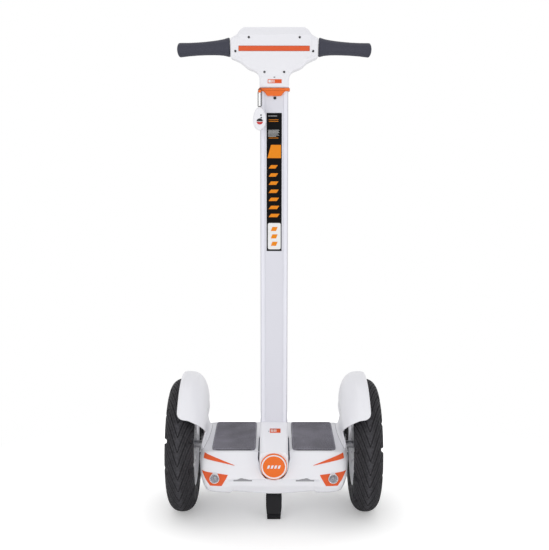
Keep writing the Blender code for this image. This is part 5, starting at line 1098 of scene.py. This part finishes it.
class SCOOTER_OT_badge(bpy.types.Operator):
    """Round badge: orange rim, white ring and an enamelled disc with plain strokes"""

    bl_idname = "scooter.badge"
    bl_label = "Badge"

    def execute(self, context):
        place, axis = (0, -0.1603, PIVOT), (0, 1, 0)
        make("badge_rim", "steering", "badge", turned(BADGE_RIM, place, axis, 128, ring=True))
        ring = turned(BADGE_RING, place, axis, 128, ring=True)
        make("badge_band", "steering", "white", ring, ["badge_ring"])
        make("badge_face", "steering", "badge", turned(BADGE_DISC, place, axis, 128), ["badge_disc"])
        make("badge_strokes", "steering", "white", badge_strokes())
        return {"FINISHED"}


def column_section():
    """The column's section and its tone of painted light, front to -Y: round corners, rails, and a sunk
    panel in front.
    """
    corner, panel, sunk, groove, rail, dent = 0.0045, 0.0235, 0.0008, 0.0005, 0.0130, 0.0006
    x0, y0, y1 = COLUMN_HALF, -COLUMN_FRONT, -COLUMN_BACK
    floor = y0 + sunk
    front = [(panel - 0.0004, floor), (panel - 0.0002, floor + groove), (panel + 0.0003, floor + groove),
             (panel + 0.0006, y0 + 0.0002), (panel + 0.0010, y0)]
    turn = np.linspace(0, pi / 2, 8)
    corner_front = np.stack([x0 - corner + corner * np.sin(turn), y0 + corner - corner * np.cos(turn)], -1)
    side = [(x0, y0 + rail), (x0 - dent, y0 + rail + dent), (x0 - dent, y1 - rail - dent), (x0, y1 - rail)]
    corner_back = np.stack([x0 - corner + corner * np.cos(turn), y1 - corner + corner * np.sin(turn)], -1)
    left = np.vstack([front, corner_front, side, corner_back])
    section = np.vstack([left, left[::-1] * (-1, 1)])
    distance = np.abs(section[:, 0])
    # Painted light: the rails' tone is a painted highlight, and the outer edges fall to 0 as painted shade.
    tone = 0.68 + 0.22 * step(distance, panel, panel + 0.0012) - 0.68 * step(distance, 0.0312, COLUMN_HALF)
    return section, tone


def collar_band():
    """The band round the column: its outer rim with rounded edges, and a gap to the column inside."""
    edge, high = 0.0010, 0.0078
    outer, inner = (box_outline((-COLUMN_HALF - wide, -COLUMN_FRONT - wide),
                                (COLUMN_HALF + wide, -COLUMN_BACK + wide), corner, 8)
                    for wide, corner in ((COLLAR_WALL, 0.0075), (COLLAR_GAP, 0.0050)))
    low = COLLAR_HIGH - high
    drawn_in = inset(outer, edge)
    return lofted([(drawn_in, low), (outer, low + edge), (outer, COLLAR_HIGH - edge),
                   (drawn_in, COLLAR_HIGH), (inner, COLLAR_HIGH), (inner, low)], "Z", ring=True)


def collar_flap():
    """The flap below the band, in front of the column."""
    left = [(0.0170, 1.1023), (0.0205, 1.1060), (0.0230, 1.1110), (0.0290, 1.1146), (0.0300, 1.1170)]
    right = [(-x, z) for x, z in left]
    outline = rounded([right[0], *left, *right[:0:-1]], 0.002)
    return front_plate(outline, -COLUMN_FRONT - COLLAR_WALL, COLLAR_WALL - COLLAR_GAP, 0.0010)


STRIP_LOW, STRIP_HIGH = (-0.019, 0.713), (0.019, 1.061)
STRIP_FLAG = ((-0.0170, 0.949), (0.0170, 0.949), (0.0170, 0.982), (-0.0080, 0.982))
STRIP_PLATE_LOW, STRIP_PLATE_HIGH = (-0.0160, 0.7175), (0.0168, 0.7850)
ORANGE_LINES = (1.0435, 1.0395, 0.9985)
WHITE_LINES = ((1.0530, 0.022), (1.0180, 0.028), (1.0150, 0.026), (1.0120, 0.028), (1.0090, 0.024),
               (1.0060, 0.027), (1.0030, 0.020))


def strip_motifs():
    """Plain bars and strokes on the strip, by name: their finish, outlines and height above the strip."""
    strokes = [slanted(-0.0140, z, z + 0.0085, 0.0220 - 0.0008 * k, 0.006)
               for k, z in enumerate(np.arange(0.800, 0.925, 0.0205))]
    orange = [slanted(-0.0135, z, z + 0.0012, 0.024, 0) for z in ORANGE_LINES]
    base = box_outline(STRIP_PLATE_LOW, STRIP_PLATE_HIGH, 0.0045)
    white = [slanted(-0.0150, z, z + 0.0008, width, 0) for z, width in WHITE_LINES]
    marks = [slanted(-0.0085, z, z + 0.0105, 0.0135, 0.004) for z in (0.7265, 0.7455, 0.7645)]
    return {"strip_orange": ("amber_ink", [STRIP_FLAG, *strokes, *orange], 0.0002),
            "strip_white": ("white_ink", [base, *white], 0.0002),
            "strip_marks": ("amber_ink", marks, 0.0004)}


class SCOOTER_OT_column(bpy.types.Operator):
    """Column, its label strip, the screw under the collar, and the collar"""

    bl_idname = "scooter.column"
    bl_label = "Column"

    def execute(self, context):
        section, tone = column_section()
        heights = np.linspace(COLUMN_LOW, COLUMN_TOP, 24)
        tube = grid(places(section[:, 0], section[:, 1], heights[:, None]), around=True, ends=True)
        make("column_extrusion", "steering", "column", tube, ["column_tube"], sharp=25,
             values=np.tile(tone, len(heights)))
        face = -COLUMN_FRONT + 0.0002
        strip = front_plate(box_outline(STRIP_LOW, STRIP_HIGH, 0.0012), face, 0.0005)
        make("label_strip", "steering", "ink", strip, ["column_label_strip"], slot="black_plastic")
        for name, (finish, outlines, proud) in strip_motifs().items():
            make(name, "steering", finish, [front_plate(o, face - proud, 0.0003) for o in outlines])
        make("collar", "steering", "badge", [collar_band(), collar_flap()], ["column_collar"])
        screw = screw_shape((0.0015, -COLUMN_FRONT - 0.0006, 1.0975), (0, -1, 0), 0.0036)
        make("column_bolt", "steering", "black", screw, ["column_screw"])
        return {"FINISHED"}


def screw_shape(place, axis, radius):
    """A small pan head with a sunk hexagon."""
    head = [(-0.0016, radius), (0.0002, radius), (0.0009, radius * 0.8), (0.0011, radius * 0.52)]
    socket = [(0.0011, radius * 0.50), (-0.0002, radius * 0.45), (-0.0002, 0.0)]
    return turned(head + socket, place, axis, 18)


# Head


HEAD_OUTLINE = ((0.0365, 1.1230), (0.0370, 1.1500), (0.0440, 1.1610), (0.0670, 1.1690), (0.0815, 1.1835),
                (0.1085, 1.1950), (0.1085, 1.2420), (0.0920, 1.2510), (0.0850, 1.2630), (0.0750, 1.2695))
HEAD_SOFTNESS = (0.0, 0.010, 0.008, 0.008, 0.010, 0.004, 0.004, 0.004, 0.005, 0.0)
HEAD_SEAM, REAR_SEAM, SEAM_STEP, HEAD_EDGE = -0.0323, -0.0317, 0.0012, 0.0055
WING_X, WING_SINK, TOP_BAND, TOP_SLOPE = (0.0890, 0.0935), 0.0022, 1.2505, 0.6


def head_rows(shrink):
    """The head's face as rows from side to side. The half outline's corners are rounded and drawn in."""
    half = rounded(HEAD_OUTLINE, HEAD_SOFTNESS, 7, closed=False)
    whole = inset(np.vstack([half, half[::-1] * (-1, 1)]), shrink)[:len(half)]
    whole[0] = (half[0, 0] - shrink, half[0, 1] + shrink)
    whole[-1] = (half[-1, 0] - shrink * 0.7, half[-1, 1] - shrink)
    return whole[:, :1] * np.linspace(-1, 1, 100), whole[:, 1:]


def head_cover(front):
    """Half of the head: rings from the seam over a rounded edge, and a face whose wings and top sink."""
    end, seam, out = (-HEAD_FRONT, HEAD_SEAM, -1) if front else (-HEAD_BACK, REAR_SEAM, 1)
    turn = np.linspace(0, pi / 2, 6)
    levels = [(seam, SEAM_STEP), (seam + out * 0.0006, 0.0004), (seam + out * SEAM_STEP, 0.0)]
    levels += [(end - out * HEAD_EDGE * (1 - sin(t)), HEAD_EDGE * (1 - cos(t))) for t in turn]

    def level(y, shrink):
        """The rows at a depth: wings and top sink as the depth nears the face, half as much at the rear."""
        x, z = head_rows(shrink)
        share = np.clip((y - seam) / (end - seam), 0, 1)
        sink = WING_SINK * step(np.abs(x), *WING_X) + TOP_SLOPE * np.maximum(0, z - TOP_BAND)
        return places(x, y - out * share * sink * (1 if front else 0.5), z)

    shell = grid(np.array([border(level(y, shrink)) for y, shrink in levels]), around=True)
    back = border(level(*levels[0]))
    return [shell, grid(level(*levels[-1])), (back, [list(range(len(back)))])]


STRIPE_LOW, STRIPE_HIGH, STRIPE_RIM = (-0.0872, 1.2113), (0.0862, 1.2223), 0.0010
HEAD_LABEL_LOW, HEAD_LABEL_HIGH = (-0.0162, 1.1330), (0.0184, 1.1426)
HEAD_LABEL_BARS = ((-0.0146, 0.0060), (-0.0072, 0.0016), (-0.0042, 0.0016), (-0.0012, 0.0016))
HEAD_SCREWS = ((0.0625, 1.2435, 0.0), (0.0958, 1.2105, 0.0021), (0.0243, 1.1602, 0.0))


class SCOOTER_OT_head(bpy.types.Operator):
    """Head covers, stripe, labels and screws"""

    bl_idname = "scooter.head"
    bl_label = "Head"

    def execute(self, context):
        make("head_front", "steering", "white", head_cover(True), ["head_front_cover"], sharp=24)
        make("head_rear", "steering", "white", head_cover(False), ["head_rear_cover"], sharp=24)
        face = -HEAD_FRONT - 0.0009
        low, high = np.array(STRIPE_LOW), np.array(STRIPE_HIGH)
        edge = front_plate(box_outline(low - STRIPE_RIM, high + STRIPE_RIM, 0.0012), face + 0.0002, 0.0010)
        make("stripe_edge", "steering", "orange_dark", edge)
        stripe = front_plate(box_outline(low, high, 0.0010), face, 0.0010, 0.0002)
        make("stripe", "steering", "orange", stripe, ["head_stripe"])
        label = front_plate(box_outline(HEAD_LABEL_LOW, HEAD_LABEL_HIGH, 0.0008), face + 0.0004, 0.0006)
        make("head_label", "steering", "orange_ink", label)
        bars = [front_plate(slanted(x, 1.1345, 1.1410, width, 0), face + 0.0002, 0.0004)
                for x, width in HEAD_LABEL_BARS]
        make("head_label_bars", "steering", "white_ink", bars)
        mark = front_plate(slanted(-0.0022, 1.1468, 1.1486, 0.0040, 0.0008), face + 0.0004, 0.0006)
        make("head_mark", "steering", "ink", mark)
        screws = [screw_shape((side * x, -HEAD_FRONT + sunk - 0.0002, z), (0, -1, 0), 0.0028)
                  for x, z, sunk in HEAD_SCREWS for side in (-1, 1)]
        make("head_screws", "steering", "black", screws)
        return {"FINISHED"}


def bar_axis(reach, side):
    """The handlebar's middle line: straight, then a circular bend to the rear, then straight again."""
    beyond = np.maximum(reach - BAR_STRAIGHT, 0)
    bend = BAR_BEND * sin(BAR_SWEEP)
    inside = BAR_BEND - np.sqrt(np.maximum(BAR_BEND ** 2 - np.minimum(beyond, bend) ** 2, 0))
    outside = BAR_BEND * (1 - cos(BAR_SWEEP)) + (beyond - bend) * tan(BAR_SWEEP)
    back = np.where(beyond <= bend, inside, outside)
    return places(side * reach, -BAR_REACH + back, BAR_HEIGHT - beyond * tan(BAR_DROOP))


GRIP_STOPS = ((0.0000, 0.0222), (0.0008, 0.0234), (0.0030, 0.0234), (0.0090, 0.0218), (0.0150, 0.0203),
              (0.0280, 0.0184), (0.0420, 0.0173), (0.0600, 0.0165), (0.0800, 0.0161), (0.1050, 0.0165),
              (0.1220, 0.0176), (0.1280, 0.0178), (0.1295, 0.0168), (0.1300, 0.0130))
FLUTES, FLUTE_DEPTH, RING_PITCH, RING_DEPTH = 18, 0.00035, 0.0042, 0.0004


def grip_shape(side):
    """A grip: a flared collar and a waist turned along the bar, with shallow flutes and a round end.

    Flutes and the collar's rings are cosines of the turn and of the distance, cut off at a level.
    """
    share = np.concatenate([np.linspace(0, 0.02, 5), np.linspace(0.03, 0.93, 120), np.linspace(0.94, 1, 12)])
    along = share * GRIP_LENGTH
    stops = np.array(GRIP_STOPS).T
    radius = sum(np.interp(along + shift, *stops) for shift in (-0.0012, 0, 0.0012)) / 3
    angle = np.linspace(0, 2 * pi, 72, endpoint=False)[None]
    grooved = (step(along, 0.024, 0.030) * step(0.122 - along, 0, 0.005))[:, None]
    flutes = FLUTE_DEPTH * step(np.cos(FLUTES * angle), 0.2, 0.8) * grooved
    ringed = step(0.022 - along, 0, 0.002) * step(along, 0.008, 0.010)
    rings = RING_DEPTH * step(np.cos(2 * pi * along / RING_PITCH), 0.0, 0.7) * ringed
    r = (radius[:, None] - flutes - rings[:, None])[..., None]
    path = bar_axis(GRIP_INNER + along, side)
    tangent = np.gradient(path, axis=0)
    tangent /= np.linalg.norm(tangent, axis=1, keepdims=True)
    first = np.cross(tangent, (0, 0, 1))
    first /= np.linalg.norm(first, axis=1, keepdims=True)
    second = np.cross(tangent, first)
    turn = np.cos(angle)[..., None] * first[:, None] + np.sin(angle)[..., None] * second[:, None]
    return grid(path[:, None] + r * turn, around=True, ends=True)


class SCOOTER_OT_grips(bpy.types.Operator):
    """Hand grips"""

    bl_idname = "scooter.grips"
    bl_label = "Grips"

    def execute(self, context):
        for label, side in SIDES:
            make(label + "_hand_grip", "steering", "grip", grip_shape(side), [label + "_grip"], sharp=45)
        return {"FINISHED"}


# Key fob


FOB_Z, FOB_HALF, FOB_HIGH, FOB_THICK, FOB_EDGE, FOB_TAPER = 1.0462, 0.0165, 0.0288, 0.0118, 0.0042, 0.10
STRAND_X, BEAD_PITCH, BUTTON_Z = 0.0043, 0.0027, 1.0390
BEAD_PROFILE = ((-0.0013, 0.0), (-0.0010, 0.0010), (0.0, 0.0014), (0.0010, 0.0010), (0.0013, 0.0))
PEG_PROFILE = ((0.0, 0.0), (0.0, 0.0034), (0.0010, 0.0040), (0.0022, 0.0040), (0.0026, 0.0018),
               (0.0120, 0.0018), (0.0120, 0.0))


def fob_case():
    """The fob's shell: an oval narrowed upwards by the sine of the turn, and a quarter turn at its rim."""
    angle = np.linspace(0, 2 * pi, 72, endpoint=False)
    wide = FOB_HALF * np.cos(angle) * (1 - FOB_TAPER * np.sin(angle))
    outline = np.stack([PEG_X - 0.0006 + wide, FOB_Z + FOB_HIGH * np.sin(angle)], -1)
    half = [(FOB_THICK / 2 * sin(t) ** 0.7, FOB_EDGE * (1 - cos(t))) for t in np.linspace(0, pi / 2, 7)]
    rows = [(-y, shrink) for y, shrink in half[:0:-1]] + half
    return lofted([(inset(outline, shrink), FOB_Y + y) for y, shrink in rows], "Y")


def fob_beads():
    """The bead chain: two strands that draw together at the top, an arch over the peg, and a foot."""
    strands = [(side * STRAND_X * (1 - 0.25 * step(z, 1.110, 1.117)), z)
               for side in (-1, 1) for z in np.arange(1.0785, 1.1170, BEAD_PITCH)]
    arch = [(0.0032 * cos(a), 1.1165 + 0.0030 * sin(a)) for a in np.linspace(0.35, pi - 0.35, 4)]
    foot = [(x, 1.0765) for x in (-0.0036, -0.001, 0.0018)]
    return [hung(turned(BEAD_PROFILE, (PEG_X + x, FOB_Y, z), (0, 0, 1), 8))
            for x, z in strands + arch + foot]


def fob_button(up):
    """A half-oval button, the upper or the lower one."""
    turn = np.linspace(0, pi, 24)
    arch = np.stack([PEG_X + 0.0078 * np.cos(turn), BUTTON_Z + up * (0.0007 + 0.0068 * np.sin(turn))], -1)
    return hung(front_plate(arch, FOB_Y - 0.0066, 0.0014, 0.0004))


def hung(shape):
    """A shape turned back upright about the peg, because the fob hangs straight down."""
    points, faces = shape
    y, z = points[:, 1] - FOB_Y, points[:, 2] - PEG_Z
    return np.stack([points[:, 0], FOB_Y + y * cos(LEAN) + z * sin(LEAN),
                     PEG_Z - y * sin(LEAN) + z * cos(LEAN)], -1), faces


class SCOOTER_OT_fob(bpy.types.Operator):
    """Key fob on its bead chain, with two buttons and two lights, and the peg it hangs on"""

    bl_idname = "scooter.fob"
    bl_label = "Key Fob"

    def execute(self, context):
        make("fob_case", "key_fob", "white", hung(fob_case()), ["fob_shell"], sharp=30)
        make("fob_beads", "key_fob", "chain", fob_beads(), ["fob_chain"])
        make("fob_peg", "steering", "badge", turned(PEG_PROFILE, (PEG_X, -0.0690, PEG_Z), (0, 1, 0), 24))
        make("fob_lock_button", "fob_upper_button", "black", fob_button(1), ["fob_black_button"])
        make("fob_open_button", "fob_lower_button", "red", fob_button(-1), ["fob_red_button"])
        lights = [hung(front_plate(circle(0.0019, 14) + (PEG_X + x, z), FOB_Y - 0.0062, 0.0010))
                  for x, z in ((0.0030, 1.0545), (0.0036, 1.0485))]
        make("fob_lights", "key_fob", "ink", lights)
        return {"FINISHED"}


# Stage


def area_light(name, place, height, size, power):
    """A soft square lamp that faces a height above the middle of the floor."""
    data = bpy.data.lights.new(name, "AREA")
    data.size = size
    data.energy = power
    lamp = bpy.data.objects.new(name, data)
    bpy.context.scene.collection.objects.link(lamp)
    lamp.location = place
    direction = Vector((0, 0, height)) - Vector(place)
    lamp.rotation_euler = direction.to_track_quat("-Z", "Y").to_euler()


LIGHTS = (("key_light", (-1.4, -3.0, 1.2), 0.3, 3.0, 9), ("fill_light", (1.8, -2.8, 0.7), 0.3, 3.0, 7),
          ("top_light", (0, 0.4, 3.2), 0.2, 2.2, 8),
          ("right_low_light", (-1.25, -1.5, 0.30), 0.22, 1.0, 3.6),
          ("left_low_light", (1.25, -1.5, 0.30), 0.22, 1.0, 3.6))
FLOOR_HALF = 12.0
CAMERA_PLACE, CAMERA_LENS = (0.0009, -2.300, 0.841), 56.55
CAMERA_TURN = (radians(90 - 5.03), radians(-0.06), 0)


def floor_paper():
    """A white floor that keeps shadows. To the camera it glows a little, and far out it is plain white."""
    made = Finish("floor_paper", (0.9, 0.9, 0.9), 0.9, specular_ior_level=0.0)
    camera = made.node("LightPath").outputs["Is Camera Ray"]
    reach = made.node("VectorMath", operation="LENGTH")
    made.link(made.node("TexCoord").outputs["Object"], reach.inputs[0])
    glow, plain, add, mix = (made.node(kind) for kind in ("Emission", "Emission", "AddShader", "MixShader"))
    strength = made.spread(reach.outputs["Value"], 0.24, 1.0, 0.25, 1.1)
    share = made.spread(reach.outputs["Value"], 0.0, 1.0, 0.75, 1.1)
    for source, target in ((made.product(camera, strength), glow.inputs["Strength"]),
                           (made.shader.outputs["BSDF"], add.inputs[0]),
                           (glow.outputs["Emission"], add.inputs[1]),
                           (made.product(share, camera), mix.inputs["Fac"]),
                           (add.outputs["Shader"], mix.inputs[1]),
                           (plain.outputs["Emission"], mix.inputs[2]),
                           (mix.outputs["Shader"], made.nodes["Material Output"].inputs["Surface"])):
        made.link(source, target)
    return made.material


def surroundings():
    """A white world: plain white to the camera, and for the rest a light that dims a little overhead."""
    world = bpy.data.worlds.new("surroundings")
    world.use_nodes = True
    made = Wiring(world.node_tree)
    background, split, seen = made.nodes["Background"], made.node("SeparateXYZ"), made.node("Mix")
    background.inputs["Color"].default_value = (1, 1, 1, 1)
    made.link(made.node("TexCoord").outputs["Generated"], split.inputs["Vector"])
    made.link(made.spread(split.outputs["Z"], 0.94, 0.72, 0.2, 0.9), seen.inputs["A"])
    seen.inputs["B"].default_value = 1.0
    made.link(made.node("LightPath").outputs["Is Camera Ray"], seen.inputs["Factor"])
    made.link(seen.outputs["Result"], background.inputs["Strength"])
    return world


def add_camera(scene):
    """The camera, at the photograph's height and angle."""
    data = bpy.data.cameras.new("camera")
    data.lens = CAMERA_LENS
    data.sensor_width = 36
    data.clip_end = 50
    camera = bpy.data.objects.new("camera", data)
    scene.collection.objects.link(camera)
    camera.location = CAMERA_PLACE
    camera.rotation_euler = CAMERA_TURN
    scene.camera = camera


class SCOOTER_OT_stage(bpy.types.Operator):
    """Floor, soft lamps, white surroundings and the camera"""

    bl_idname = "scooter.stage"
    bl_label = "Stage"

    def execute(self, context):
        scene = context.scene
        mesh = bpy.data.meshes.new("floor")
        corners = [(x * FLOOR_HALF, y * FLOOR_HALF, 0) for x, y in ((-1, -1), (1, -1), (1, 1), (-1, 1))]
        mesh.from_pydata(corners, [], [(0, 1, 2, 3)])
        mesh.materials.append(floor_paper())
        floor = bpy.data.objects.new("floor", mesh)
        scene.collection.objects.link(floor)
        for light in LIGHTS:
            area_light(*light)
        scene.world = surroundings()
        add_camera(scene)
        scene.view_settings.view_transform = "Standard"
        return {"FINISHED"}


class SCOOTER_OT_finishes(bpy.types.Operator):
    """Materials, and their places on the frame's own pieces"""

    bl_idname = "scooter.finishes"
    bl_label = "Finishes"

    def execute(self, context):
        FINISH.update(finishes(context.scene.scooter_colours))
        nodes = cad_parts
        for finish, names in NODE_FINISH.items():
            for name in names:
                for node in [name] if name in nodes else ["left_" + name, "right_" + name]:
                    for place in nodes[node].material_slots:
                        place.material = FINISH[finish]
        return {"FINISHED"}


class SCOOTER_PT_panel(bpy.types.Panel):
    """The scooter's settings and steps"""

    bl_label = "Scooter"
    bl_space_type = "VIEW_3D"
    bl_region_type = "UI"
    bl_category = "Scooter"

    def draw(self, context):
        for settings in (context.scene.scooter_sizes, context.scene.scooter_colours):
            for key in settings.__annotations__:
                self.layout.prop(settings, key)
        for operator in STEPS:
            self.layout.operator(operator.bl_idname)


STEPS = (SCOOTER_OT_finishes, SCOOTER_OT_tyres, SCOOTER_OT_wheels, SCOOTER_OT_shells, SCOOTER_OT_trims,
         SCOOTER_OT_lamps, SCOOTER_OT_pads, SCOOTER_OT_fenders, SCOOTER_OT_stand, SCOOTER_OT_neck,
         SCOOTER_OT_badge, SCOOTER_OT_column, SCOOTER_OT_head, SCOOTER_OT_grips, SCOOTER_OT_fob,
         SCOOTER_OT_stage)
CLASSES = (ScooterSizes, ScooterColours, *STEPS, SCOOTER_PT_panel)


def register():
    """Makes the settings, steps and panel known to Blender."""
    for known in CLASSES:
        bpy.utils.register_class(known)
    bpy.types.Scene.scooter_sizes = PointerProperty(type=ScooterSizes)
    bpy.types.Scene.scooter_colours = PointerProperty(type=ScooterColours)


def unregister():
    """Takes them out again."""
    del bpy.types.Scene.scooter_sizes, bpy.types.Scene.scooter_colours
    for known in reversed(CLASSES):
        bpy.utils.unregister_class(known)


def main():
    """Runs every step in order."""
    register()
    for operator in STEPS:
        group, name = operator.bl_idname.split(".")
        getattr(getattr(bpy.ops, group), name)()


if __name__ == "__main__":
    main()
